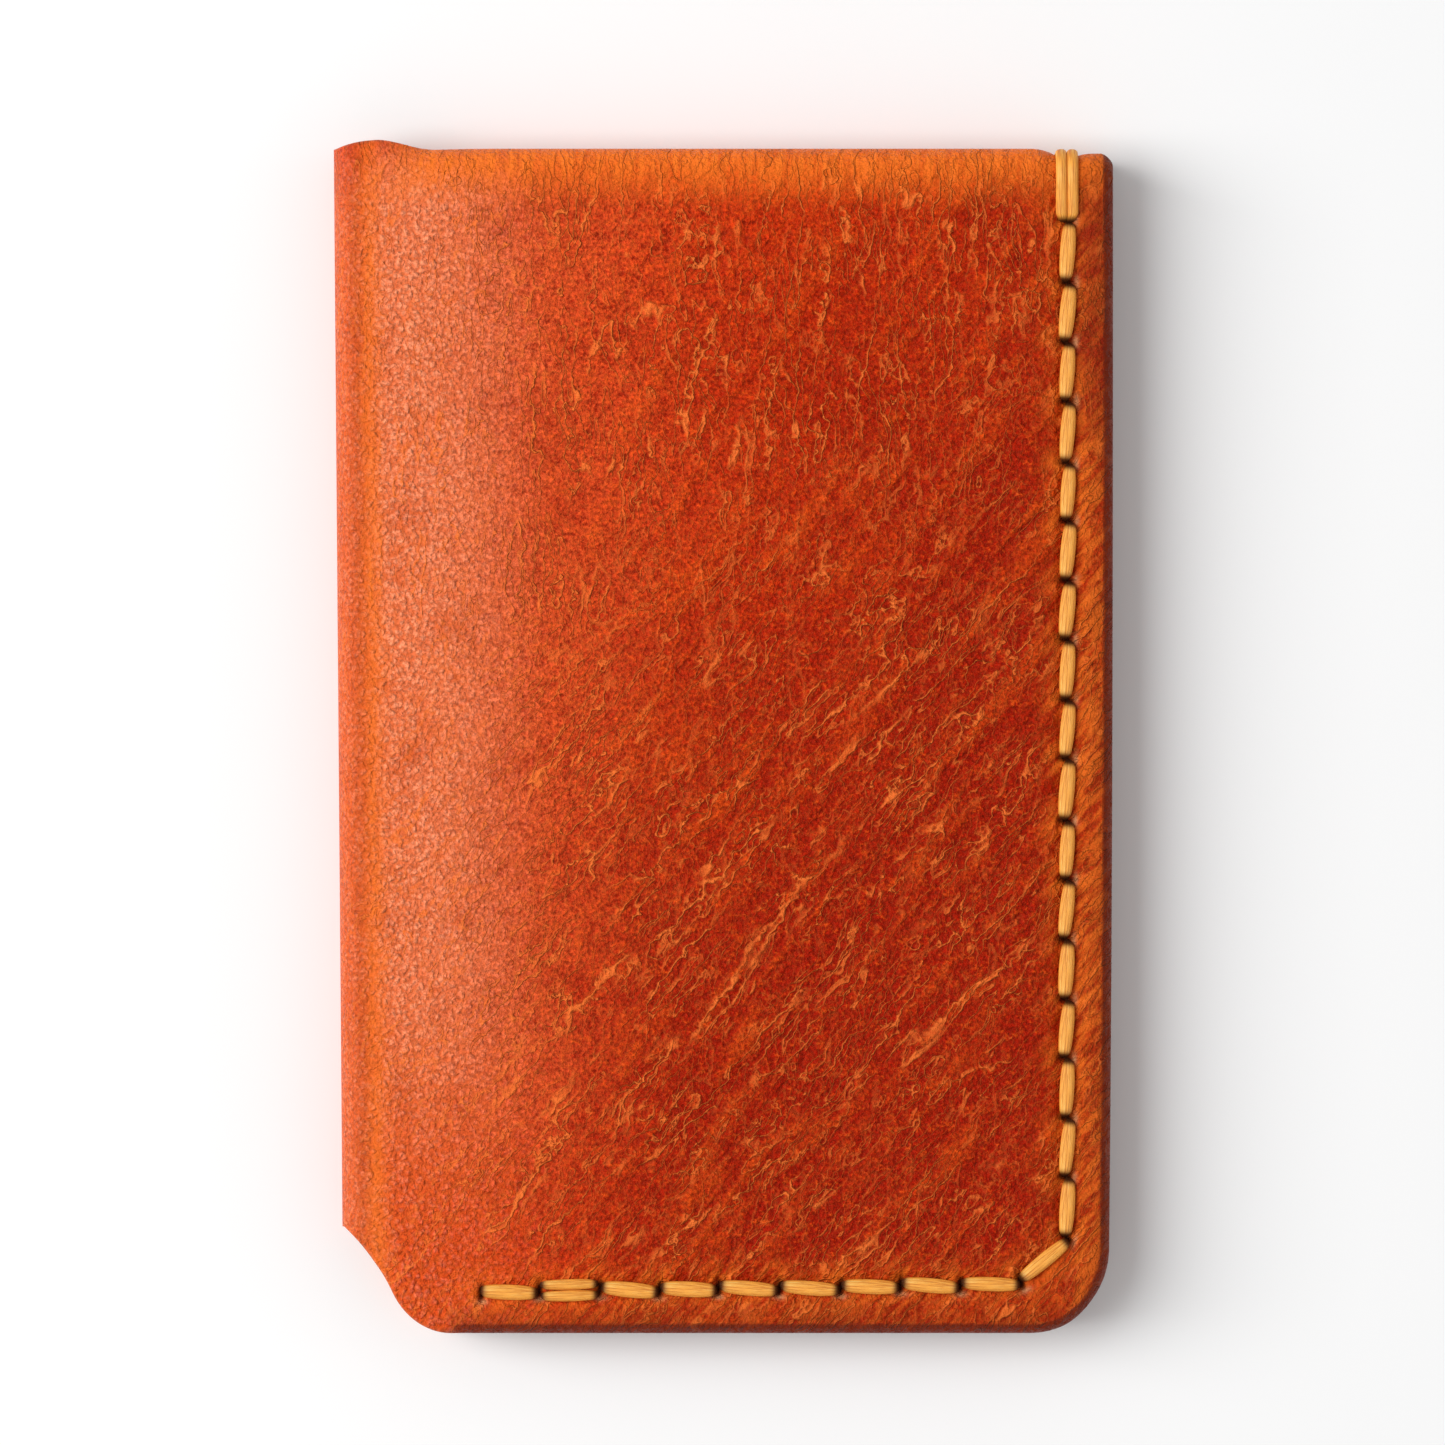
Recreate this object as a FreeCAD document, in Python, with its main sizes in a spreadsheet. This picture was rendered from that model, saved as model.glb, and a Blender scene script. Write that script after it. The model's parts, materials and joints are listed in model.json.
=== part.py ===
"""A hand-stitched, book-fold leather card holder, closed and lying on its back cover.

One sheet of leather makes two leaves joined by a half-round spine. Each leaf is a cover whose top edge
turns in and comes back down as a pocket panel, sewn to the cover down the outer side and along the foot
with one waxed thread and two needles. Cards slide in from the spine side.

Frame: +Z up, +Y towards the turned-in top, +X away from the spine, origin under the middle of the closed
holder. All sizes are in millimetres.
"""
import FreeCAD, Part
import math
import os

import Sketcher

DOC = FreeCAD.newDocument("card_holder")
SHEET = DOC.addObject("Spreadsheet::Sheet", "Sizes")

SIZES = {
    "holder_width": (65.2, "spine to outer edge, closed"),
    "holder_length": (99.6, "raw top corner to foot"),
    "leather": (1.6, "thickness of the sheet"),
    "card_gap": (0.8, "room between cover and pocket panel"),
    "leaf_gap": (0.6, "room between the closed leaves"),
    "fold_clearance": (0.3, "slit between a cover and the spine strip"),
    "fold_drop": (1.0, "turned-in top below the raw corner"),
    "raw_corner": (1.2, "straight raw edge of the cover beside the spine"),
    "mouth_inset": (5.3, "pocket mouth from the cover's spine side"),
    "foot_corner": (5.5, "radius of the outer foot corner"),
    "notch_corner": (6.0, "radius where the foot meets the spine notch"),
    "notch_bend": (14.0, "radius of the notch's upper curve"),
    "notch_angle": (65.0, "steepest angle of the notch, in degrees"),
    "notch_offset": (6.0, "notch corner's centre from the cover's spine side"),
    "seam_side": (3.87, "seam from the outer edge"),
    "seam_foot": (4.19, "seam from the foot"),
    "seam_head": (5.93, "first hole below the turned-in top"),
    "seam_mouth": (2.35, "last hole from the pocket mouth"),
    "corner_step": (3.85, "the corner stitch's reach along each edge"),
    "seam_ease": (0.45, "flat leather between the stitches and the pocket panel's step"),
    "pitch": (5.0, "nominal stitch length"),
    "thread": (0.8, "thread diameter"),
    "thread_room": (0.05, "clearance round the thread"),
}


class Size:
    """A length that knows both its expression in the sheet and its present value."""

    def __init__(self, text, value):
        self.text, self.value = text, value

    def _with(self, other, sign, value):
        return Size(f"({self.text} {sign} {text_of(other)})", value)

    def __add__(self, other):
        return self._with(other, "+", self.value + value_of(other))

    def __sub__(self, other):
        return self._with(other, "-", self.value - value_of(other))

    def __mul__(self, other):
        return self._with(other, "*", self.value * value_of(other))

    def __truediv__(self, other):
        return self._with(other, "/", self.value / value_of(other))

    def __neg__(self):
        return Size(f"(-1 * {self.text})", -self.value)

    def sin(self):
        return Size(f"sin({self.text})", math.sin(math.radians(self.value)))

    def cos(self):
        return Size(f"cos({self.text})", math.cos(math.radians(self.value)))

    def root(self):
        return Size(f"sqrt({self.text})", math.sqrt(self.value))

    def nearest(self):
        return Size(f"floor({self.text} + 0.5)", math.floor(self.value + 0.5))


def text_of(number):
    return number.text if isinstance(number, Size) else repr(number)


def value_of(number):
    return number.value if isinstance(number, Size) else number


def fill_sheet():
    """Writes the driving sizes into the sheet, and returns them by name."""
    found = {}
    for row, (name, (value, note)) in enumerate(SIZES.items(), start=1):
        SHEET.set(f"A{row}", name)
        SHEET.set(f"B{row}", str(value))
        SHEET.setAlias(f"B{row}", name)
        SHEET.set(f"C{row}", note)
        found[name] = Size(f"Sizes.{name}", value)
    DOC.recompute()
    return found


S = fill_sheet()
NOTHING = Size("0", 0.0)

# Heights in a leaf, measured inwards from its outer face.
LEATHER = S["leather"]
PANEL_FLOOR = LEATHER + S["card_gap"]
LEAF = PANEL_FLOOR + LEATHER
STACK = LEAF * 2 + S["leaf_gap"]
SPINE_RADIUS = STACK / 2

# Places across the holder.
RIGHT = S["holder_width"] / 2
SPINE_CENTRE = SPINE_RADIUS - RIGHT
COVER_LEFT = SPINE_CENTRE + S["fold_clearance"]
MOUTH = COVER_LEFT + S["mouth_inset"]

# Places along the holder.
HEAD = S["holder_length"] / 2
FOOT = -HEAD
FOLD_TOP = HEAD - S["fold_drop"]
FLAT_TOP = FOLD_TOP - LEAF / 2

# The notch at the foot of the spine: a corner arc and a wider arc that meet at the steepest point.
NOTCH_CENTRE = COVER_LEFT + S["notch_offset"]
STEEP_X = NOTCH_CENTRE - S["notch_corner"] * S["notch_angle"].sin()
STEEP_Y = FOOT + S["notch_corner"] - S["notch_corner"] * S["notch_angle"].cos()
BEND_X = STEEP_X - S["notch_bend"] * S["notch_angle"].sin()
BEND_Y = STEEP_Y - S["notch_bend"] * S["notch_angle"].cos()

# The seam: a column of holes, a corner stitch and a row of holes.
SEAM_X = RIGHT - S["seam_side"]
SEAM_Y = FOOT + S["seam_foot"]
FIRST_Y = FOLD_TOP - S["seam_head"]
COLUMN_END = SEAM_Y + S["corner_step"]
ROW_START = SEAM_X - S["corner_step"]
ROW_END = MOUTH + S["seam_mouth"]
COLUMN_COUNT = ((FIRST_Y - COLUMN_END) / S["pitch"]).nearest()
ROW_COUNT = ((ROW_START - ROW_END) / S["pitch"]).nearest()
COLUMN_PITCH = (FIRST_Y - COLUMN_END) / COLUMN_COUNT
ROW_PITCH = (ROW_START - ROW_END) / ROW_COUNT

# The thread: two passes side by side in a slit, and three in the first hole.
STRAND_OFFSET = S["thread"] / 2 + S["thread_room"] / 2
SLIT_RADIUS = S["thread"] / 2 + S["thread_room"]
CHANNEL_DEPTH = S["thread"] + S["thread_room"]
CHANNEL_HALF = STRAND_OFFSET + SLIT_RADIUS
FIRST_RING = STRAND_OFFSET * (2 / math.sqrt(3))
FIRST_RADIUS = FIRST_RING + SLIT_RADIUS

# The pocket panel steps down to the cover just inside the stitches.
STEP_INSET = CHANNEL_HALF + S["seam_ease"]
STEP_X = SEAM_X - STEP_INSET
STEP_Y = SEAM_Y + STEP_INSET
CARD_RIGHT = STEP_X - S["card_gap"]
CARD_FOOT = STEP_Y + S["card_gap"]


def notch_height(x):
    """How high the notch's wider arc stands at x."""
    reach = x - BEND_X
    return BEND_Y + (S["notch_bend"] * S["notch_bend"] - reach * reach).root()


def level(side, depth):
    """A height at depth into the leaf: the back leaf counts up from the ground, the front leaf down."""
    return depth if side == "back" else STACK - depth


def new_body(label):
    body = DOC.addObject("PartDesign::Body", label)
    body.Label = label
    return body


def plane_of(body, role):
    return next(f for f in body.Origin.OriginFeatures if f.Role == role)


def new_sketch(body, name, role, offset=NOTHING):
    """An empty sketch on one of the body's own planes, moved along the plane's normal."""
    sketch = body.newObject("Sketcher::SketchObject", f"{body.Label}_{name}")
    sketch.AttachmentSupport = [(plane_of(body, role), "")]
    sketch.MapMode = "FlatFace"
    sketch.setExpression("AttachmentOffset.Base.z", offset.text)
    return sketch


def pin(sketch, kind, value, *where):
    """Adds one constraint whose value follows an expression."""
    index = sketch.addConstraint(Sketcher.Constraint(kind, *where, value.value))
    sketch.setExpression(f"Constraints[{index}]", value.text)


def arc_between(start, end, radius, turn):
    """The short arc from start to end; turn is +1 where it runs anticlockwise."""
    chord = end - start
    half = chord.Length / 2
    rise = math.sqrt(max(radius**2 - half**2, 0.0))
    across = FreeCAD.Vector(-chord.y, chord.x, 0).normalize()
    centre = start + chord / 2 + across * (rise * turn)
    first, last = (start, end) if turn > 0 else (end, start)
    angles = [math.atan2(p.y - centre.y, p.x - centre.x) for p in (first, last)]
    circle = Part.Circle(centre, FreeCAD.Vector(0, 0, 1), radius)
    return Part.ArcOfCircle(circle, angles[0], angles[1])


def draw(sketch, corners):
    """A closed outline. A corner is (x, y), or (x, y, radius, turn) where an arc leads on to the next."""
    points = [FreeCAD.Vector(c[0].value, c[1].value, 0) for c in corners]
    ends = []
    for i, corner in enumerate(corners):
        start, end = points[i], points[(i + 1) % len(corners)]
        if len(corner) == 2:
            ends.append((sketch.addGeometry(Part.LineSegment(start, end)), 1, 2))
            continue
        radius, turn = corner[2:]
        arc = sketch.addGeometry(arc_between(start, end, radius.value, turn))
        ends.append((arc, 1, 2) if turn > 0 else (arc, 2, 1))
        if abs(start.distanceToPoint(end) - 2 * radius.value) > 1e-7:
            pin(sketch, "Radius", radius, arc)
        elif abs(end.x - start.x) < 1e-7:
            pin(sketch, "DistanceX", corner[0], -1, 1, arc, 3)
        else:
            pin(sketch, "DistanceY", corner[1], -1, 1, arc, 3)
    for (one, _, last), (two, first, _) in zip(ends, ends[1:] + ends[:1]):
        sketch.addConstraint(Sketcher.Constraint("Coincident", one, last, two, first))
    for (edge, first, _), corner in zip(ends, corners):
        pin(sketch, "DistanceX", corner[0], -1, 1, edge, first)
        pin(sketch, "DistanceY", corner[1], -1, 1, edge, first)


def pad(body, sketch, length, reverse=False):
    feature = body.newObject("PartDesign::Pad", f"{sketch.Name}_pad")
    feature.Profile = sketch
    feature.setExpression("Length", length.text)
    feature.Reversed = reverse
    return feature


def cut(body, sketch, depth, reverse):
    """A pocket that must take material away."""
    DOC.recompute()
    before = body.Shape.Volume
    feature = body.newObject("PartDesign::Pocket", f"{sketch.Name}_cut")
    feature.Profile = sketch
    feature.setExpression("Length", depth.text)
    feature.Reversed = reverse
    DOC.recompute()
    if body.Shape.Volume > before - 1e-3:
        raise RuntimeError(f"{feature.Name} cuts nothing")
    return feature


def repeat(body, feature, role, count, length):
    """Copies a cut along an axis of the body, backwards, count times over length."""
    before = body.Shape.Volume
    pattern = body.newObject("PartDesign::LinearPattern", f"{feature.Name}_row")
    pattern.Originals = [feature]
    pattern.Direction = (plane_of(body, role), [""])
    pattern.Reversed = True
    pattern.setExpression("Length", length.text)
    pattern.setExpression("Occurrences", count.text)
    body.Tip = pattern
    DOC.recompute()
    if body.Shape.Volume > before - 1e-3:
        raise RuntimeError(f"{pattern.Name} repeats nothing")


def draw_slit(sketch, along_x):
    """A slit with round ends, across the seam."""
    half, wide = STRAND_OFFSET, SLIT_RADIUS
    if along_x:
        corners = [(-half, -wide), (half, -wide, wide, 1), (half, wide), (-half, wide, wide, 1)]
    else:
        corners = [(wide, -half), (wide, half, wide, 1), (-wide, half), (-wide, -half, wide, 1)]
    draw(sketch, corners)


def pierce(body, side, depth):
    """The stitch holes through one layer, from depth inwards over one thickness of leather."""
    inwards = side == "back"
    height = level(side, depth)
    round_hole = new_sketch(body, "first_hole", "XY_Plane", height)
    circle = Part.Circle(FreeCAD.Vector(0, 0, 0), FreeCAD.Vector(0, 0, 1), FIRST_RADIUS.value)
    round_hole.addGeometry(circle)
    pin(round_hole, "Radius", FIRST_RADIUS, 0)
    round_hole.addConstraint(Sketcher.Constraint("Coincident", 0, 3, -1, 1))
    place(round_hole, SEAM_X, FIRST_Y)
    cut(body, round_hole, LEATHER, inwards)

    column = new_sketch(body, "column_hole", "XY_Plane", height)
    draw_slit(column, along_x=True)
    place(column, SEAM_X, FIRST_Y - COLUMN_PITCH)
    hole = cut(body, column, LEATHER, inwards)
    repeat(body, hole, "Y_Axis", COLUMN_COUNT, COLUMN_PITCH * (COLUMN_COUNT - 1))

    row = new_sketch(body, "row_hole", "XY_Plane", height)
    draw_slit(row, along_x=False)
    place(row, ROW_START, SEAM_Y)
    hole = cut(body, row, LEATHER, inwards)
    repeat(body, hole, "X_Axis", ROW_COUNT + 1, ROW_PITCH * ROW_COUNT)


def place(sketch, x, y):
    """Moves a sketch that is drawn round its own origin."""
    sketch.setExpression("AttachmentOffset.Base.x", x.text)
    sketch.setExpression("AttachmentOffset.Base.y", y.text)


def make_cover(side):
    """The outer panel, with its raw corner by the spine, the notch at its foot and the stitch channel."""
    body = new_body(f"{side}_cover")
    outline = new_sketch(body, "outline", "XY_Plane", level(side, NOTHING))
    draw(
        outline,
        [
            (COVER_LEFT, HEAD),
            (COVER_LEFT, notch_height(COVER_LEFT), S["notch_bend"], -1),
            (STEEP_X, STEEP_Y, S["notch_corner"], 1),
            (NOTCH_CENTRE, FOOT),
            (RIGHT - S["foot_corner"], FOOT, S["foot_corner"], 1),
            (RIGHT, FOOT + S["foot_corner"]),
            (RIGHT, FLAT_TOP),
            (MOUTH, FLAT_TOP),
            (MOUTH, FOLD_TOP),
            (COVER_LEFT + S["raw_corner"], HEAD),
        ],
    )
    pad(body, outline, LEATHER, reverse=side == "front")

    # The channel's corners are mitred: each bend of the seam turns by half a right angle.
    wide = CHANNEL_HALF
    mitre = wide * math.tan(math.pi / 8)
    channel = new_sketch(body, "channel", "XY_Plane", level(side, NOTHING))
    draw(
        channel,
        [
            (SEAM_X - wide, FLAT_TOP),
            (SEAM_X - wide, COLUMN_END + mitre),
            (ROW_START - mitre, SEAM_Y + wide),
            (ROW_END - wide, SEAM_Y + wide),
            (ROW_END - wide, SEAM_Y - wide),
            (ROW_START + mitre, SEAM_Y - wide),
            (SEAM_X + wide, COLUMN_END - mitre),
            (SEAM_X + wide, FLAT_TOP),
        ],
    )
    cut(body, channel, CHANNEL_DEPTH, reverse=side == "back")
    pierce(body, side, NOTHING)
    return body


def make_pocket(side):
    """The inner panel: flat over the card, and stepped down to the cover where the seam holds it."""
    body = new_body(f"{side}_pocket")
    outline = new_sketch(body, "outline", "XY_Plane", level(side, LEATHER))
    draw(
        outline,
        [
            (MOUTH, FLAT_TOP),
            (MOUTH, FOOT),
            (RIGHT - S["foot_corner"], FOOT, S["foot_corner"], 1),
            (RIGHT, FOOT + S["foot_corner"]),
            (RIGHT, FLAT_TOP),
        ],
    )
    pad(body, outline, PANEL_FLOOR, reverse=side == "front")

    card_space = new_sketch(body, "card_space", "XY_Plane", level(side, LEATHER))
    draw(
        card_space,
        [
            (MOUTH - 1, FLAT_TOP + 1),
            (MOUTH - 1, CARD_FOOT),
            (CARD_RIGHT - S["corner_step"], CARD_FOOT),
            (CARD_RIGHT, CARD_FOOT + S["corner_step"]),
            (CARD_RIGHT, FLAT_TOP + 1),
        ],
    )
    cut(body, card_space, S["card_gap"], reverse=side == "back")

    margin = new_sketch(body, "margin", "XY_Plane", level(side, LEAF))
    draw(
        margin,
        [
            (MOUTH - 1, STEP_Y),
            (MOUTH - 1, FOOT - 1),
            (RIGHT + 1, FOOT - 1),
            (RIGHT + 1, FLAT_TOP + 1),
            (STEP_X, FLAT_TOP + 1),
            (STEP_X, STEP_Y + S["corner_step"]),
            (STEP_X - S["corner_step"], STEP_Y),
        ],
    )
    cut(body, margin, S["card_gap"], reverse=side == "front")
    pierce(body, side, LEATHER)
    return body


def half_round(sketch, depth, outer, inner=None):
    """A half ring or half disc in the YZ plane, bulging towards the head from the flat's end."""
    if inner is None:
        draw(sketch, [(FLAT_TOP, depth - outer, outer, 1), (FLAT_TOP, depth + outer)])
        return
    draw(
        sketch,
        [
            (FLAT_TOP, depth - outer, outer, 1),
            (FLAT_TOP, depth + outer),
            (FLAT_TOP, depth + inner, inner, -1),
            (FLAT_TOP, depth - inner),
        ],
    )


def make_top_fold(side):
    """The turned-in top: a hollow roll over the card space, pressed flat and grooved at the seam."""
    body = new_body(f"{side}_top_fold")
    roll = new_sketch(body, "roll", "YZ_Plane", MOUTH)
    half_round(roll, level(side, LEAF / 2), LEAF / 2, S["card_gap"] / 2)
    pad(body, roll, CARD_RIGHT - MOUTH)

    groove_left, groove_right = SEAM_X - CHANNEL_HALF, SEAM_X + CHANNEL_HALF
    stretches = [
        ("inner", CARD_RIGHT, groove_left, LEATHER),
        ("groove", groove_left, groove_right, LEATHER - CHANNEL_DEPTH),
        ("edge", groove_right, RIGHT, LEATHER),
    ]
    for name, start, end, radius in stretches:
        flat = new_sketch(body, name, "YZ_Plane", start)
        half_round(flat, level(side, LEATHER), radius)
        pad(body, flat, end - start)
    return body


def make_spine():
    """The half-round strip between the covers, notched at its foot."""
    body = new_body("spine")
    ring = new_sketch(body, "ring", "XZ_Plane")
    inner = SPINE_RADIUS - LEATHER
    draw(
        ring,
        [
            (SPINE_CENTRE, STACK, SPINE_RADIUS, 1),
            (SPINE_CENTRE, NOTHING),
            (SPINE_CENTRE, LEATHER, inner, -1),
            (SPINE_CENTRE, STACK - LEATHER),
        ],
    )
    strip = pad(body, ring, S["holder_length"])
    strip.Midplane = True

    notch = new_sketch(body, "notch", "XY_Plane", STACK + 1)
    left = -RIGHT - 1
    draw(
        notch,
        [
            (left, FOOT - 1),
            (COVER_LEFT, FOOT - 1),
            (COVER_LEFT, notch_height(COVER_LEFT), S["notch_bend"], 1),
            (left, notch_height(left)),
        ],
    )
    cut(body, notch, STACK + 2, reverse=False)
    return body


def hole_places():
    """(point, direction across the seam) of each hole, from the head round to the mouth."""
    holes = []
    across_column, across_row = FreeCAD.Vector(1, 0, 0), FreeCAD.Vector(0, -1, 0)
    for i in range(int(COLUMN_COUNT.value) + 1):
        y = FIRST_Y.value - i * COLUMN_PITCH.value
        holes.append((FreeCAD.Vector(SEAM_X.value, y, 0), across_column))
    for i in range(int(ROW_COUNT.value) + 1):
        x = ROW_START.value - i * ROW_PITCH.value
        holes.append((FreeCAD.Vector(x, SEAM_Y.value, 0), across_row))
    return holes


def rounded_wire(points, radius):
    """Straight runs joined by tangent arcs; an arc is smaller only where a run is too short for it."""
    edges, last = [], points[0]
    for before, corner, after in zip(points, points[1:], points[2:]):
        back = (before - corner).normalize()
        ahead = (after - corner).normalize()
        turn = math.pi - back.getAngle(ahead)
        run = min((before - corner).Length, (after - corner).Length)
        reach = min(radius * math.tan(turn / 2), 0.49 * run)
        bend = reach / math.tan(turn / 2)
        start, end = corner + back * reach, corner + ahead * reach
        middle_line = (back + ahead).normalize()
        centre = corner + middle_line * (bend / math.cos(turn / 2))
        edges.append(Part.makeLine(last, start))
        edges.append(Part.Arc(start, centre - middle_line * bend, end).toShape())
        last = end
    edges.append(Part.makeLine(last, points[-1]))
    return Part.Wire(edges)


def thread_points(side):
    """The thread's route: from one needle's end, round the head of the leaf twice, to the other's."""
    holes = hole_places()
    offset = STRAND_OFFSET.value
    outer = level(side, STRAND_OFFSET).value
    inner = level(side, LEATHER * 2 + STRAND_OFFSET).value
    inside = level(side, LEATHER * 1.2).value
    first = holes[0][0]
    ring = FIRST_RING.value
    passes = [first + FreeCAD.Vector(math.sin(a), math.cos(a), 0) * ring for a in
              (math.radians(60), math.radians(-60), math.radians(180))]
    head = (FLAT_TOP + LEATHER - S["thread"] / 2).value
    lanes = [SEAM_X.value + offset, SEAM_X.value - offset]

    def at(point, height):
        return FreeCAD.Vector(point.x, point.y, height)

    def needle(outer_first):
        """One needle's half: from the hole after the first to the last hole."""
        route, outside = [], outer_first
        for i, (hole, across) in enumerate(holes[1:], start=1):
            arrives = hole + across * (-offset if outside else offset)
            heights = (outer, inner) if outside else (inner, outer)
            route.append(at(arrives, heights[0]))
            route.append(at(arrives, heights[1] if i < len(holes) - 1 else inside))
            outside = not outside
        return route

    start = list(reversed(needle(outer_first=False)))
    wraps = []
    for lane, (below, above) in zip(lanes, zip(passes, passes[1:])):
        wraps += [at(below, inner), at(below, outer)]
        wraps += [FreeCAD.Vector(lane, head, outer), FreeCAD.Vector(lane, head, inner)]
    wraps += [at(passes[2], inner), at(passes[2], outer)]
    return start + wraps + needle(outer_first=True)


def make_thread(side):
    """One thread as a tube along its route."""
    wire = rounded_wire(thread_points(side), S["thread"].value / 2 + S["thread_room"].value)
    radius = S["thread"].value / 2
    start = wire.OrderedVertexes[0].Point
    ahead = wire.OrderedEdges[0].tangentAt(wire.OrderedEdges[0].FirstParameter)
    ring = Part.Wire(Part.makeCircle(radius, start, ahead))
    tube = wire.makePipeShell([ring], True, False)
    expected = math.pi * radius**2 * wire.Length
    if abs(tube.Volume - expected) > 0.02 * expected:
        raise RuntimeError(f"{side} thread holds {tube.Volume:.2f}, not {expected:.2f}")
    thread = DOC.addObject("Part::Feature", f"{side}_thread")
    thread.Label = f"{side}_thread"
    thread.Shape = tube
    thread.Placement = FreeCAD.Placement()
    return thread


def check(pieces):
    """Stops if any object failed or any piece isn't one valid solid."""
    for item in DOC.Objects:
        if {"Invalid", "Error"} & set(item.State):
            raise RuntimeError(f"{item.Name} failed: {item.State}")
    for piece in pieces:
        if piece.Shape.isNull() or not piece.Shape.isValid() or len(piece.Shape.Solids) != 1:
            raise RuntimeError(f"{piece.Label} isn't one valid solid")


def build():
    pieces = [make_spine()]
    for side in ("back", "front"):
        pieces += [make_cover(side), make_pocket(side), make_top_fold(side), make_thread(side)]
    DOC.recompute()
    check(pieces)
    os.makedirs("parts", exist_ok=True)
    for piece in pieces:
        piece.Shape.exportStep(f"parts/{piece.Label}.step")
        print(f"{piece.Label}: {piece.Shape.Volume:.1f} mm3")


build()
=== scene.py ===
"""Looks of a hand-stitched folding leather card holder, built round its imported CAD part."""

import json
import math

import bpy
import numpy as np
from bpy.props import FloatProperty, FloatVectorProperty, IntProperty, PointerProperty
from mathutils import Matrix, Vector, kdtree
from mathutils.geometry import delaunay_2d_cdt

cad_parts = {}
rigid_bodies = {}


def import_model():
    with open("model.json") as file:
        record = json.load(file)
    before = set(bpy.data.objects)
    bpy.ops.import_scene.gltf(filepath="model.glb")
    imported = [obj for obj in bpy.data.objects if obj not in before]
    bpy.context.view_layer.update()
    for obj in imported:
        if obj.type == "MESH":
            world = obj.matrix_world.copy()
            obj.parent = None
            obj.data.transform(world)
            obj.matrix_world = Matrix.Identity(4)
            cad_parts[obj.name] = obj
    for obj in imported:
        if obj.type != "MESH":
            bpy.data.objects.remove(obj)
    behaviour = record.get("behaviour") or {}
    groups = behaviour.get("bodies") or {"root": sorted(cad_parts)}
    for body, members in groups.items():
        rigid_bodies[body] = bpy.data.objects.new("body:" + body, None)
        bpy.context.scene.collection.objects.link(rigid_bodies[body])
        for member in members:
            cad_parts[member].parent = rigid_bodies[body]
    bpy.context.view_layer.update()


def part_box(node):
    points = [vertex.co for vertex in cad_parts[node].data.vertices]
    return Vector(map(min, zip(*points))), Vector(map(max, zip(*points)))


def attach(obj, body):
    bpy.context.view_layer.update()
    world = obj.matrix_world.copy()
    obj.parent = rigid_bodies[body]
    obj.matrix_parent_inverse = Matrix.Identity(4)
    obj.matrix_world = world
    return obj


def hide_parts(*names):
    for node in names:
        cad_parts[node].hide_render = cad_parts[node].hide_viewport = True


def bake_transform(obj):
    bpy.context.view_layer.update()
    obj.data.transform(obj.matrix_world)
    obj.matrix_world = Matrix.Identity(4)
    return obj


for leftover in list(bpy.data.objects):
    bpy.data.objects.remove(leftover)
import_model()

bl_info = {
    "name": "Folding card holder",
    "version": (1, 0, 0),
    "blender": (4, 5, 0),
    "location": "View3D > Sidebar > Card holder",
    "description": "Builds a hand-stitched leather card holder round its packed CAD part",
    "category": "Object",
}

MM = 0.001


def corners(node):
    """Lowest and highest corner of a CAD node, in millimetres."""
    low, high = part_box(node)
    return np.array(low) / MM, np.array(high) / MM


COVER_LOW, COVER_HIGH = corners("front_cover")
FLAP_LOW, FLAP_HIGH = corners("front_pocket")
FOLD_LOW, FOLD_HIGH = corners("front_top_fold")
SPINE_LOW, SPINE_HIGH = corners("spine")
THREAD_LOW, THREAD_HIGH = corners("front_thread")

RIGHT, FOOT, TOP = COVER_HIGH[0], COVER_LOW[1], COVER_HIGH[2]
LEFT, HEAD = SPINE_LOW[0], SPINE_HIGH[1]
MOUTH, FLAP_FACE = FLAP_LOW[0], FLAP_LOW[2]
FLAT_HEAD, ROLL_HEAD = FOLD_LOW[1], FOLD_HIGH[1]
MIDDLE = (SPINE_LOW[2] + SPINE_HIGH[2]) / 2
LEATHER = COVER_HIGH[2] - COVER_LOW[2]
ROLL_LENGTH = math.pi * (TOP - FLAP_FACE) / 2
ROLL_END = FLAT_HEAD + ROLL_LENGTH

# The line of holes lies this far inside the thread's box at the side and foot, and less at the spine end.
SEAM_INSET, SEAM_END_INSET = 0.825, 0.4
SIDE_SEAM = THREAD_HIGH[0] - SEAM_INSET
FOOT_SEAM = THREAD_LOW[1] + SEAM_INSET
ROW_END = THREAD_LOW[0] + SEAM_END_INSET

NOTCH_TURN = 205  # degrees, where the notch's corner meets its hollow
BLANK_MAP = 100  # millimetres to one unit of the blank's UV map
FIBRE_MAP = 10  # millimetres to one unit of the thread's UV map
EDGE_EASING = 6  # times that a value is averaged along the outline
STITCH = 5.0  # length in millimetres of the stitch that the seam's tree stretches to fit


# ---------------------------------------------------------------- settings


def length_of(label, text, value, **extra):
    """A length property whose default is given in millimetres."""
    return FloatProperty(name=label, description=text, default=value * MM, unit="LENGTH",
                         subtype="DISTANCE", precision=5, **extra)


def angle_of(label, text, degrees):
    """An angle property whose default is given in degrees."""
    return FloatProperty(name=label, description=text, default=math.radians(degrees),
                         unit="ROTATION", subtype="ANGLE")


def share_of(label, text, value):
    """A plain number property."""
    return FloatProperty(name=label, description=text, default=value)


def linear(red, green, blue):
    """A screen colour, 0 to 255, as the linear colour that shaders take."""
    tones = []
    for tone in (red, green, blue):
        tone = tone / 255
        tones.append(tone / 12.92 if tone <= 0.04045 else ((tone + 0.055) / 1.055) ** 2.4)
    return tuple(tones)


def colour_of(label, text, tones):
    """A colour property whose default is a screen colour, 0 to 255."""
    return FloatVectorProperty(name=label, description=text, default=linear(*tones),
                               subtype="COLOR", size=3, min=0.0, max=1.0)


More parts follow.
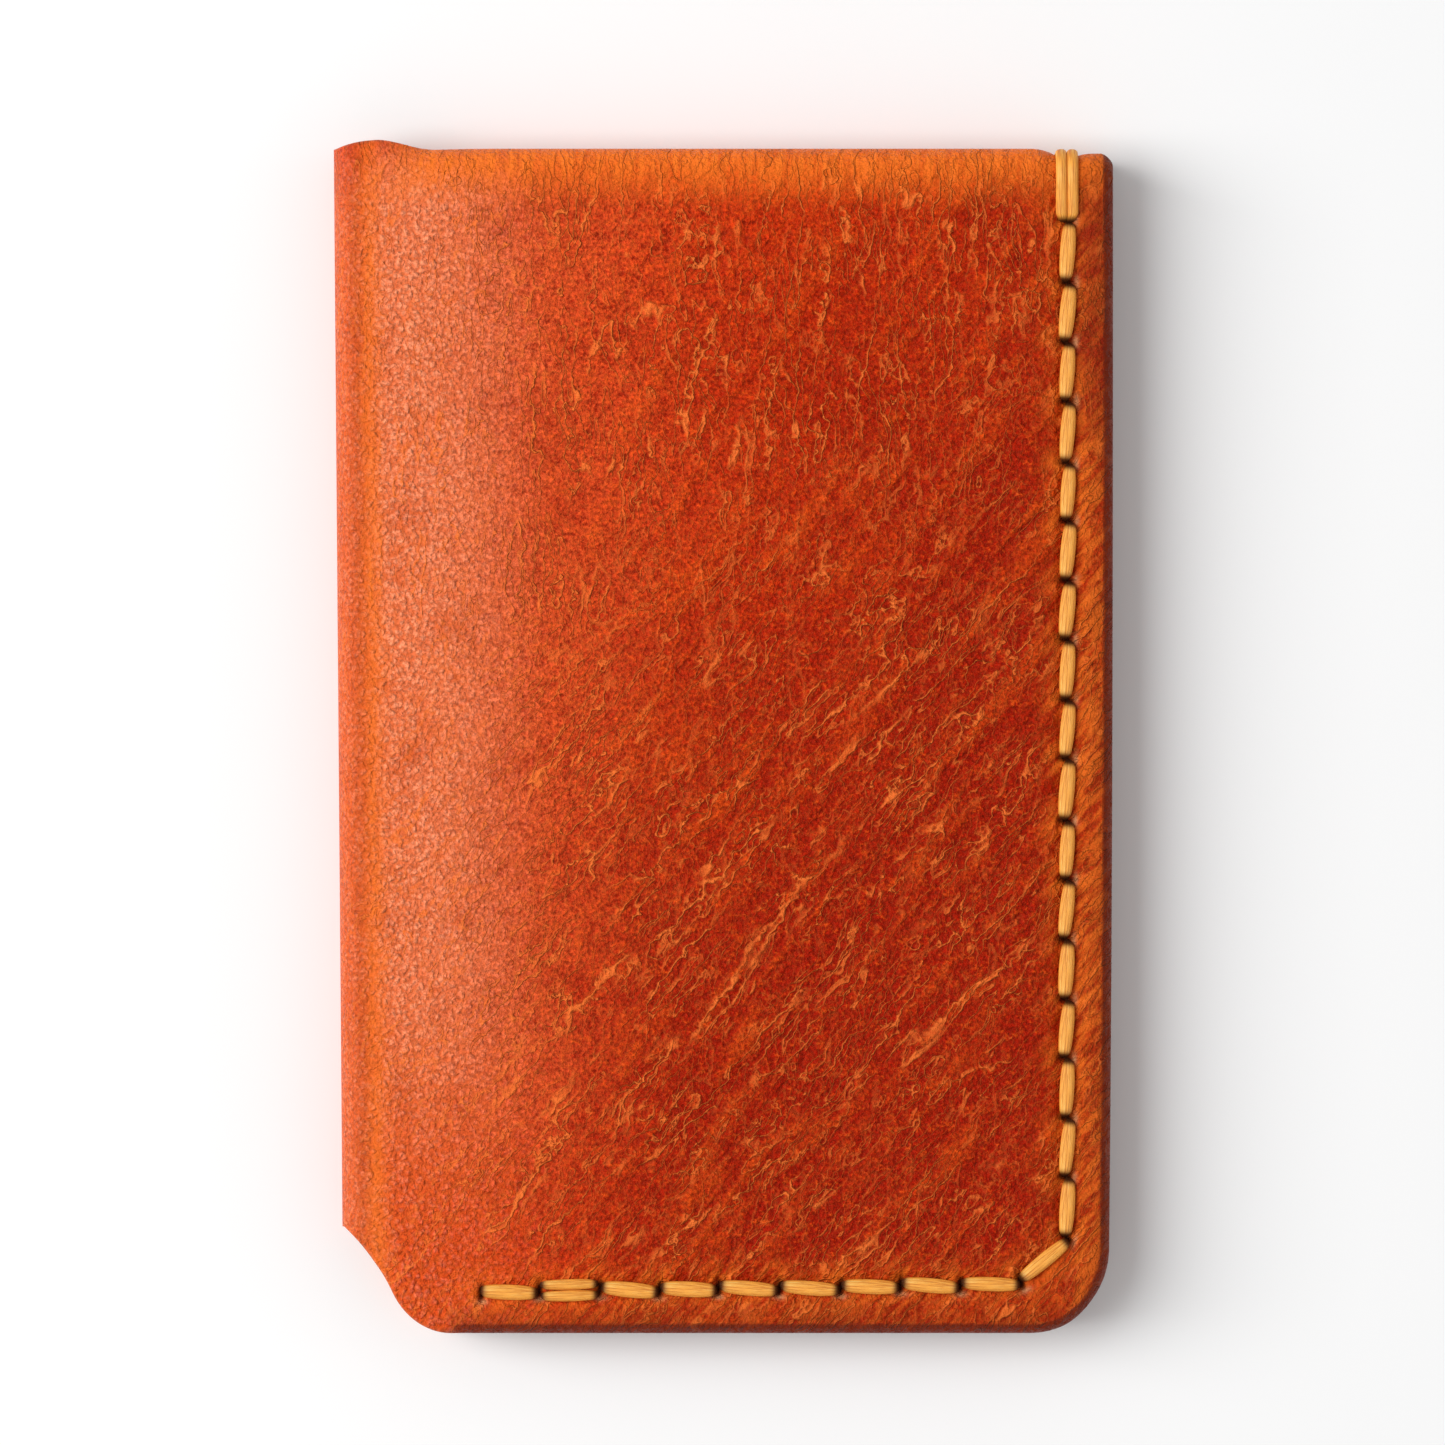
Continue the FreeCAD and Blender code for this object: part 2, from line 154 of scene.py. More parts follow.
class HolderShape(bpy.types.PropertyGroup):
    """Sizes of the leather's own shape, beyond what the CAD part fixes."""

    grain_step: length_of("Mesh step", "Spacing of the mesh on open leather", 0.62)
    wall_angle: angle_of("Wall angle", "Slope of the spine wall where the crease starts", 42)
    slope_angle: angle_of("Slope angle", "Slope of the cover just past the crease", 7)
    crease: length_of("Crease", "Width of the creased bend beside the spine", 1.5)
    slope: length_of("Slope", "How far the cover slopes before it lies flat", 11.5)
    lean: length_of("Spine lean", "How far the spine edge leans in at the foot", 0.8)
    taper: length_of("Edge taper", "How much narrower the right margin is at the foot", 0.4)
    head_full: length_of("Fuller head", "How far the rolled head springs past the CAD fold", 0.32)
    edge_round: length_of("Edge rounding", "Rounding of the burnished edges", 0.95)
    cut_round: length_of("Cut rounding", "Rounding of the raw cut edges", 0.3)
    mouth_round: length_of("Mouth rounding", "Rounding of the pocket mouths", 0.4)
    layer_gap: length_of("Layer line", "Small chamfer that parts the two layers", 0.13)
    seam_drop: length_of("Seam drop", "How far the stitched margin is pressed down", 0.32)
    seam_rise: length_of("Seam rise", "How far the inside face is pulled up at the seam", 0.48)
    foot_corner: length_of("Foot corner", "Radius of the rounded foot corner", 7.0)
    crease_line: length_of("Crease line", "From the spine edge to the bright crease beside it", 3.1)
    notch_corner: length_of("Notch corner", "Radius where the foot edge turns up", 6.0)
    notch_bend: length_of("Notch bend", "Radius of the hollow that meets the spine", 14.0)
    raw_peak: length_of("Raw corner", "How far the raw corner's spine end sits below its peak", 0.6)
    mouth_fillet: length_of("Mouth fillet", "Radius between the raw edge and the pocket mouth", 3.0)


class SeamShape(bpy.types.PropertyGroup):
    """Places and sizes of the saddle stitches."""

    width: length_of("Thread width", "Width of a stitch lying on the leather", 1.26)
    height: length_of("Thread height", "Height of a stitch lying on the leather", 0.72)
    strand: length_of("Strand width", "Width of each of two strands side by side", 0.94)
    track: length_of("Track depth", "How far a stitch presses into the leather", 0.3)
    head_margin: length_of("Head margin", "From the roll to the first hole", 5.93)
    corner_step: length_of("Corner step", "Each side of the diagonal corner stitch", 3.85)
    row_lean: length_of("Row lean", "How far the foot row sinks towards the spine", 0.7)
    wander: length_of("Hand wander", "How unevenly the holes were set by hand", 0.09)
    slant: angle_of("Slant", "How far each stitch slants across the seam", -5.0)
    slit_turn: angle_of("Slit turn", "Turn of the hole slits from the seam's run", 76.0)
    column_count: IntProperty(name="Column stitches", description="Stitches up the side", default=17)
    row_count: IntProperty(name="Row stitches", description="Stitches along the foot", default=9)
    seed: IntProperty(name="Seed", description="Seed of the hand-made unevenness", default=11)


class LeatherTones(bpy.types.PropertyGroup):
    """Colours of the waxed pull-up leather."""

    body: colour_of("Body", "Main tone of the grain side", (198, 47, 5))
    # Warm is partly the leather's own lighter tone towards the spine and partly painted light: the brighter,
    # sheened side towards the key light.
    deep: colour_of("Deep", "Oil-darkened tone", (150, 16, 1))
    # Painted sheen: this pale pink stands in for the key light's highlight on the slope beside the crease and
    # on the pebble tops.
    warm: colour_of("Warm", "Lighter tone towards the spine", (222, 100, 52))
    painted_sheen_tone: colour_of("Rosy", "Pale waxy bloom just beside the crease", (244, 152, 112))
    pulled: colour_of("Pulled", "Bright tone where the leather is stretched", (254, 122, 36))
    burnished: colour_of("Burnished", "Tone of the rubbed and waxed edges", (108, 29, 9))
    fibre: colour_of("Fibre", "Torn and raw cut fibres", (214, 150, 104))
    flesh: colour_of("Flesh side", "Inside of the leather", (168, 92, 50))
    amber: colour_of("Amber", "Tone of the fold bands and of the proud grain", (230, 88, 20))
    vein: colour_of("Vein", "Bright tone of the thin creases", (250, 122, 52))
    valley: colour_of("Valley", "Tone between the pebbles beside the spine", (226, 92, 34))
    # Dark is painted shade in the hollow by the crease, and the darker rubbed head of the margin.
    dark: colour_of("Dark", "Tone of the hollow by the crease and of the head of the margin", (104, 24, 14))
    # Hole is painted shade: the dark inside of a stitch hole, which the mesh only dents.
    hole: colour_of("Hole", "Dark inside of a stitch hole", (48, 12, 6))
    gloss: share_of("Roughness", "Roughness of the waxed grain", 0.46)


class ThreadTones(bpy.types.PropertyGroup):
    """Colours of the waxed thread."""

    # Light and shade are partly the fibres' own tones, partly painted highlight on the raised fibres and
    # painted shade between them.
    body: colour_of("Body", "Main tone of the thread", (250, 170, 64))
    light: colour_of("Light", "Tone of the raised fibres", (255, 212, 122))
    shade: colour_of("Shade", "Tone between the fibres", (198, 104, 20))
    # Painted shade, with some staining, where the thread dives into the leather.
    end_shade_and_stain: colour_of("Stained", "Tone where the thread enters the leather", (84, 42, 8))


class StageLook(bpy.types.PropertyGroup):
    """Floor, lights and camera."""

    floor: colour_of("Floor", "Colour of the floor", (244, 244, 244))
    key: share_of("Key light", "Strength of the large soft light, in watts", 9.2)
    fill: share_of("Fill light", "Strength of the low fill light, in watts", 1.0)
    sky: share_of("Room light", "Strength of the light from all round", 0.45)
    lens: length_of("Lens", "Focal length of the camera", 200.0)
    view_width: length_of("View width", "Width seen at the holder's top face", 120.4)
    aim: length_of("Aim", "How far above the middle the camera looks", 1.17)


# ---------------------------------------------------------------- shapes in the plane


def ease(t):
    """Smooth step from 0 to 1."""
    t = np.clip(t, 0.0, 1.0)
    return t * t * (3 - 2 * t)


def bump(distance, width):
    """A soft hill that is 1 at distance 0 and fades over the width."""
    return np.exp(-((distance / width) ** 2))


def in_mm(group, name):
    """A length setting in millimetres."""
    return getattr(group, name) / MM


class Spine:
    """Cross-section of the front half of the spine, by the distance walked over it from the middle."""

    def __init__(self, shape):
        steep, gentle = shape.wall_angle, shape.slope_angle
        crease, slope = in_mm(shape, "crease"), in_mm(shape, "slope")
        crease_rise = crease * (math.cos(gentle) - math.cos(steep)) / (steep - gentle)
        slope_rise = slope * (1 - math.cos(gentle)) / gentle
        wall_share = math.cos(steep) / (math.pi / 2 - steep)
        wall = (TOP - MIDDLE - crease_rise - slope_rise) / wall_share
        step = 0.02
        self.walked = np.arange(0.0, wall + crease + slope + step, step)
        bends = [0, wall, wall + crease, wall + crease + slope]
        self.angle = np.interp(self.walked, bends, [math.pi / 2, steep, gentle, 0.0])
        mid = (self.angle[1:] + self.angle[:-1]) / 2
        self.x = LEFT + np.concatenate([[0], np.cumsum(np.cos(mid)) * step])
        self.z = MIDDLE + np.concatenate([[0], np.cumsum(np.sin(mid)) * step])
        self.z *= TOP / self.z[-1] if abs(self.z[-1] - TOP) < 0.05 else 1.0
        self.crease_at = wall + crease / 2
        self.crease_end = wall + crease

    def at(self, s):
        """x, z and slope angle at each walked distance."""
        beyond = np.maximum(s - self.walked[-1], 0.0)
        x = np.interp(s, self.walked, self.x) + beyond
        return x, np.interp(s, self.walked, self.z), np.interp(s, self.walked, self.angle)

    def walk_to(self, x):
        """Walked distance at each x."""
        beyond = np.maximum(x - self.x[-1], 0.0)
        return np.interp(x, self.x, self.walked) + beyond


def arc(centre, radius, start, end, step):
    """Points on an arc, angles in degrees, without its last point."""
    count = max(2, round(abs(math.radians(end - start)) * radius / step))
    angles = np.radians(np.linspace(start, end, count, endpoint=False))
    return np.stack([centre[0] + radius * np.cos(angles), centre[1] + radius * np.sin(angles)], 1)


def line(start, end, step):
    """Points on a straight line without its last point."""
    start, end = np.array(start, float), np.array(end, float)
    count = max(1, round(np.linalg.norm(end - start) / step))
    return start + (end - start) * np.linspace(0, 1, count, endpoint=False)[:, None]


def notch_height(shape, x):
    """Height of the foot edge of the spine, in the hollow of the notch."""
    corner, bend = in_mm(shape, "notch_corner"), in_mm(shape, "notch_bend")
    corner_centre = np.array([MOUTH - 0.2, FOOT + corner])
    heading = math.radians(NOTCH_TURN)
    steepest = np.array([math.cos(heading), math.sin(heading)])
    turn = corner_centre + corner * steepest
    bend_centre = turn + bend * steepest
    hollow = bend_centre[1] + np.sqrt(np.maximum(bend**2 - (x - bend_centre[0]) ** 2, 0.0))
    return corner_centre, turn, hollow


def blank_outline(shape, spine):
    """Outline of one leaf of the leather blank laid out flat, with the rounding of each edge point."""
    fine = 0.38
    corner = in_mm(shape, "foot_corner")
    fillet = in_mm(shape, "mouth_fillet")
    small = 1.3
    corner_centre, turn, _ = notch_height(shape, 0.0)
    hollow_walk = line((0, 0), (float(spine.walk_to(turn[0])), 0), fine)[:, 0]
    hollow_x, _, _ = spine.at(hollow_walk)
    _, _, hollow = notch_height(shape, hollow_x)
    parts = [(np.stack([hollow_walk, hollow], 1), "cut")]

    def add(kind, points):
        """A stretch of the outline, given by its x and y on the cover."""
        parts.append((np.stack([spine.walk_to(points[:, 0]), points[:, 1]], 1), kind))

    round_x = RIGHT - corner
    flap_foot = ROLL_END + (FLAT_HEAD - FOOT)
    flap_round = flap_foot - corner
    flap_small = flap_foot - small
    fillet_x, fillet_top = MOUTH - fillet, HEAD + fillet
    peak = LEFT + 4.3
    add("cut", arc(corner_centre, in_mm(shape, "notch_corner"), NOTCH_TURN, 270, fine))
    add("edge", line((corner_centre[0], FOOT), (round_x, FOOT), fine))
    add("edge", arc((round_x, FOOT + corner), corner, -90, 0, fine))
    add("edge", line((RIGHT, FOOT + corner), (RIGHT, flap_round), fine))
    add("edge", arc((round_x, flap_round), corner, 0, 90, fine))
    add("edge", line((round_x, flap_foot), (MOUTH + small, flap_foot), fine))
    add("mouth", arc((MOUTH + small, flap_small), small, 90, 180, 0.25))
    add("mouth", line((MOUTH, flap_small), (MOUTH, fillet_top), 0.55))
    add("cut", arc((fillet_x, fillet_top), fillet, 0, -90, 0.3))
    add("cut", line((fillet_x, HEAD), (peak, HEAD), fine))

    peak_walk = float(spine.walk_to(peak))
    fall = line((peak_walk, 0), (0, 0), fine)[:, 0]
    raw_peak = in_mm(shape, "raw_peak")
    parts.append((np.stack([fall, HEAD - raw_peak * ease((peak_walk - fall) / peak_walk)], 1), "cut"))
    parts.append((line((0, HEAD - raw_peak), (0, hollow[0]), 0.7), "middle"))
    points = np.concatenate([part for part, _ in parts])
    kinds = np.concatenate([[kind] * len(part) for part, kind in parts])
    return points, edge_rounding(shape, points, kinds), kinds


def edge_rounding(shape, points, kinds):
    """Rounding of each outline point, eased from one kind of edge to the next. The middle row stays sharp."""
    sharp = 0.012
    rounding = {kind: in_mm(shape, kind + "_round") for kind in ("edge", "cut", "mouth")}
    rounding["middle"] = sharp
    radius = np.array([rounding[kind] for kind in kinds])
    for _ in range(EDGE_EASING):
        radius = np.where(kinds == "middle", radius, neighbour_mean(radius))
    near_middle = points[:, 0] < 0.6
    return np.where(near_middle, np.minimum(radius, sharp + points[:, 0] * 0.45), radius)


def neighbour_mean(values):
    """Each value of a closed row averaged with its two neighbours."""
    return (np.roll(values, 1) + values + np.roll(values, -1)) / 3


def outward(points):
    """Outward direction at each point of an outline that runs anticlockwise."""
    along = np.roll(points, -1, 0) - np.roll(points, 1, 0)
    along /= np.linalg.norm(along, axis=1)[:, None]
    return np.stack([along[:, 1], -along[:, 0]], 1)


# ---------------------------------------------------------------- stitches on the blank


def first_hole(seam):
    """Height of the seam's first hole, below the rolled head."""
    return ROLL_HEAD - in_mm(seam, "head_margin")


def stitch_holes(seam):
    """Stitch holes from the head down the side and along the foot, in millimetres."""
    rng = np.random.default_rng(seam.seed)
    step = in_mm(seam, "corner_step")
    column = np.linspace(first_hole(seam), FOOT_SEAM + step, seam.column_count + 1)
    row_start = SIDE_SEAM - step
    row = np.linspace(row_start, ROW_END, seam.row_count + 1)
    lean = in_mm(seam, "row_lean") * (row_start - row) / (row_start - ROW_END)
    holes = [(SIDE_SEAM, y) for y in column]
    holes += [(x, FOOT_SEAM - fall) for x, fall in zip(row, lean)]
    holes = np.array(holes)
    return holes + rng.normal(0, in_mm(seam, "wander"), holes.shape) * [0.6, 1.0]


def stitch_list(seam):
    """Every stitch as start, end, width and sideways shift. The last but one is sewn twice."""
    holes = stitch_holes(seam)
    stitches = []
    width, strand = in_mm(seam, "width"), in_mm(seam, "strand")
    for index, (start, end) in enumerate(zip(holes[:-1], holes[1:])):
        if index == len(holes) - 3:
            stitches.append((start, end, strand, strand / 2))
            stitches.append((start, end, strand, -strand / 2))
        else:
            stitches.append((start, end, width, 0.0))
    return stitches


def outer_side(b, start, end, holes):
    """Whether points at a signed distance b from a stitch lie outside the seam."""
    along = (end - start) / np.linalg.norm(end - start)
    across = np.array([along[1], -along[0]])
    inward = np.dot(across, (start + end) / 2 - holes.mean(0)) < 0
    return (b < 0) if inward else (b > 0)


def seam_press(seam, x, y):
    """How far stitches press the leather at x, y, and how strongly they pull and pierce it."""
    depth = in_mm(seam, "track")
    press = np.zeros_like(x)
    pull = np.zeros_like(x)
    pierce = np.zeros_like(x)
    torn = np.zeros_like(x)
    holes = stitch_holes(seam)
    for start, end, width, shift in stitch_list(seam):
        along = (end - start) / np.linalg.norm(end - start)
        across = np.array([along[1], -along[0]])
        length = np.linalg.norm(end - start)
        a = (x - start[0]) * along[0] + (y - start[1]) * along[1]
        b = (x - start[0]) * across[0] + (y - start[1]) * across[1] - shift
        past = np.maximum(np.maximum(-a, a - length), 0.0)
        away = np.hypot(b / (width * 0.62), past / 0.35)
        press = np.maximum(press, depth / (1 + away**4))
        lip = bump(np.abs(b) - width * 1.02, 0.28) * (past < 0.1)
        press -= 0.07 * lip * (press < 0.12)
        outside = np.where(np.abs(b) < 0.5, 1.0, np.where(outer_side(b, start, end, holes), 1.6, 0.8))
        pull = np.maximum(pull, 0.45 * outside * bump(b, np.where(outside > 1, 2.1, 1.2)) * (past < 0.8))
    centres = (holes[1:] + holes[:-1]) / 2
    middle = centres.mean(0)
    for index, hole in enumerate(holes):
        before = holes[max(index - 1, 0)]
        after = holes[min(index + 1, len(holes) - 1)]
        along = (after - before) / np.linalg.norm(after - before)
        across = np.array([along[1], -along[0]])
        if np.dot(across, hole - middle) < 0:
            across = -across
        slit = along * math.cos(seam.slit_turn) + across * math.sin(seam.slit_turn)
        off = np.array([-slit[1], slit[0]])
        dx, dy = x - hole[0], y - hole[1]
        long = dx * slit[0] + dy * slit[1]
        short = dx * off[0] + dy * off[1]
        crater = np.exp(-((short / 0.34) ** 2) - ((long / 0.78) ** 2))
        press = press + 0.62 * crater
        pierce = np.maximum(pierce, np.exp(-((short / 0.26) ** 4) - ((long / 0.66) ** 4)))
        outer = dx * across[0] + dy * across[1]
        beside = dx * along[0] + dy * along[1]
        torn = np.maximum(torn, np.exp(-(((outer - 0.74) / 0.2) ** 2) - ((beside / 0.5) ** 2)))
        pull = np.maximum(pull, np.exp(-(np.hypot(outer + 0.5, beside * 0.85) / 1.45) ** 2))
    return press, pull, pierce, torn


# ---------------------------------------------------------------- the leather's surface


class Leaf:
    """Maps the flat leather blank of the front leaf to its place, in millimetres."""

    def __init__(self, shape, seam):
        self.shape, self.seam = shape, seam
        self.spine = Spine(shape)
        self.step = in_mm(seam, "corner_step")
        self.drop = in_mm(shape, "seam_drop")
        self.rise = in_mm(shape, "seam_rise")

    def margin(self, x, y):
        """1 in the stitched margin, 0 over the card space."""
        inside_side = SIDE_SEAM - x
        inside_foot = y - FOOT_SEAM + 0.4
        corner = (inside_side + inside_foot - self.step) / math.sqrt(2)
        inside = np.minimum(np.minimum(inside_side, inside_foot), corner)
        fade = ease((x - MOUTH + 5.0) / 5.0)
        return ease(1 - (inside - 0.2) / 2.7) * fade

    def fold_share(self, x):
        """How fully the head of the leather is folded over at x."""
        start, end = LEFT + 3.6, MOUTH - 1.4
        return np.maximum(ease((x - start) / (end - start)), 0.001)

    def base(self, s, v):
        """Unpressed outer surface."""
        x, z, angle = self.spine.at(s)
        on_cover = np.minimum(v, FLAT_HEAD)
        top = z - self.drop * self.margin(x, on_cover)
        face = FLAP_FACE + self.rise * self.margin(x, np.full_like(x, FLAT_HEAD))
        share = self.fold_share(x)
        half_height = (z - self.drop * self.margin(x, np.full_like(x, FLAT_HEAD)) - face) / 2
        full_radius = ROLL_LENGTH / math.pi
        radius = full_radius + (half_height - full_radius) * share
        rolled = np.clip(v - FLAT_HEAD, 0.0, ROLL_LENGTH)
        turn = share * math.pi * rolled / ROLL_LENGTH
        full = in_mm(self.shape, "head_full") * share * ease((v - FLAT_HEAD + 8) / 8)
        reach = np.minimum(v, FLAT_HEAD) + full + radius / share * np.sin(turn)
        sunk = -radius / share * (1 - np.cos(turn))
        back = np.maximum(v - FLAT_HEAD - ROLL_LENGTH, 0.0)
        y = reach - back - full * ease(back / 8)
        place_x = x - sunk * np.sin(angle)
        flap = FLAP_FACE + self.rise * self.margin(x, y)
        height = np.where(back > 0, flap, top + sunk * np.cos(angle))
        height = height + self.swell(x, y, back > 0)
        y_share = (HEAD - y) / (HEAD - FOOT)
        lean = in_mm(self.shape, "lean") * y_share * (1 - ease((x - LEFT - 3) / 14))
        taper = in_mm(self.shape, "taper") * np.clip(y_share, 0, 1) ** 3 * ease((x - SIDE_SEAM + 0.8) / 3.8)
        return np.stack([place_x + lean - taper, y, height], -1)

    def swell(self, x, y, on_flap):
        """Gentle unevenness of the panels."""
        wave = 0.05 * np.sin(x * 0.19 + 0.6) * np.sin(y * 0.085 + 1.1)
        wave += 0.04 * np.sin(x * 0.11 - y * 0.16 + 2.0)
        inner = ease((x - LEFT - 4) / 8) * ease((RIGHT - 4 - x) / 6)
        inner = inner * ease((FLAT_HEAD - y) / 6) * ease((y - FOOT - 5) / 6)
        return wave * inner * np.where(on_flap, -0.6, 1.0)

    def normal(self, s, v):
        """Outward direction of the unpressed surface."""
        e = 0.03
        across = self.base(s + e, v) - self.base(s - e, v)
        along = self.base(s, v + e) - self.base(s, v - e)
        turned = np.cross(across, along)
        return turned / np.maximum(np.linalg.norm(turned, axis=1), 1e-9)[:, None]

    def plane(self, s, v):
        """x and y of the stitch pattern on the cover or on the flap."""
        x, _, _ = self.spine.at(s)
        y = np.where(v > ROLL_END, FLAT_HEAD - (v - ROLL_END), v)
        rolled = (v > FLAT_HEAD) & (v <= ROLL_END)
        return x, y, rolled

    def pressed(self, s, v):
        """Press, pull, pierce and torn values at points of the blank."""
        x, y, rolled = self.plane(s, v)
        press, pull, pierce, torn = seam_press(self.seam, x, y)
        strand = in_mm(self.seam, "strand")
        wrap = (y > first_hole(self.seam)) | rolled
        away = np.abs(x - SIDE_SEAM) / (strand * 1.12)
        wrap_press = in_mm(self.seam, "track") * 1.15 / (1 + away**4)
        press = np.where(wrap, np.maximum(np.where(rolled, 0, press), wrap_press), press)
        pull = np.where(wrap, np.maximum(pull, 0.5 * bump(x - SIDE_SEAM, 2.0)), pull)
        pierce = np.where(rolled, 0, pierce)
        torn = np.where(rolled, 0, torn)
        return press, pull, pierce, torn

    def skin(self, s, v, inset=None, direction=None, depth=0.0, press_share=1.0):
        """Places of skin points, moved in from the outline and down into the leather."""
        if direction is not None:
            s = s - inset * direction[:, 0]
            v = v - inset * direction[:, 1]
        s = np.maximum(s, 0.0)
        press = self.pressed(s, v)[0] * press_share
        place, up = self.base(s, v), self.normal(s, v)
        return place - up * (depth + press)[:, None]


def inside_outline(points, outline):
    """Whether each point lies inside a closed outline."""
    hits = np.zeros(len(points), bool)
    x, y = points[:, 0], points[:, 1]
    for (x0, y0), (x1, y1) in zip(outline, np.roll(outline, -1, 0)):
        if y0 == y1:
            continue
        crosses = (y0 > y) != (y1 > y)
        hits ^= crosses & (x < (x1 - x0) * (y - y0) / (y1 - y0) + x0)
    return hits


def lattice(low, high, step):
    """Points of a square lattice that fills a box."""
    x = np.arange(math.floor(low[0] / step), math.ceil(high[0] / step) + 1) * step
    y = np.arange(math.floor(low[1] / step), math.ceil(high[1] / step) + 1) * step
    gx, gy = np.meshgrid(x, y)
    gx = gx + (np.arange(len(y)) % 2)[:, None] * step / 2
    return np.stack([gx.ravel(), gy.ravel()], 1)


def fill(outline, wanted_step, base_step, levels):
    """Triangles inside an outline, finer where wanted_step asks for it. The outline's points come first."""
    low, high = outline.min(0), outline.max(0)
    chosen = []
    for level in range(levels):
        step = base_step / 2**level
        points = lattice(low, high, step)
        wanted = wanted_step(points)
        top = wanted > step * 0.99
        bottom = wanted <= step * 1.98 if level else np.ones(len(points), bool)
        keep = bottom & (top if level < levels - 1 else np.ones(len(points), bool))
        chosen.append(np.column_stack([points[keep], np.full(keep.sum(), step)]))
    points = np.concatenate(chosen)
    points = points[inside_outline(points[:, :2], outline)]
    tree = kdtree.KDTree(len(outline))
    for index, (x, y) in enumerate(outline):
        tree.insert((x, y, 0.0), index)
    tree.balance()
    clear = [tree.find((x, y, 0.0))[2] > 0.45 * step for x, y, step in points]
    points = points[np.array(clear)][:, :2]
    every = np.concatenate([outline, points])
    count = len(outline)
    edges = [(i, (i + 1) % count) for i in range(count)]
    made = delaunay_2d_cdt([Vector(p) for p in every], edges, [list(range(count))], 1, 1e-6)
    verts, _, faces, origin = made[0], made[1], made[2], made[3]
    places = np.array([tuple(v) for v in verts])
    if len(places) != len(every):
        raise RuntimeError("the outline crosses itself")
    order = np.array([o[0] for o in origin])
    triangles = order[np.array(faces)]
    a, b, c = every[triangles[:, 0]], every[triangles[:, 1]], every[triangles[:, 2]]
    turn = (b[:, 0] - a[:, 0]) * (c[:, 1] - a[:, 1]) - (b[:, 1] - a[:, 1]) * (c[:, 0] - a[:, 0])
    triangles = np.where((turn < 0)[:, None], triangles[:, ::-1], triangles)
    return every, triangles


def strips(first, second, count):
    """Two triangles for each step between two closed rows of points."""
    i = np.arange(count)
    j = (i + 1) % count
    one = np.stack([first + i, second + i, second + j], 1)
    two = np.stack([first + i, second + j, first + j], 1)
    return np.concatenate([one, two])


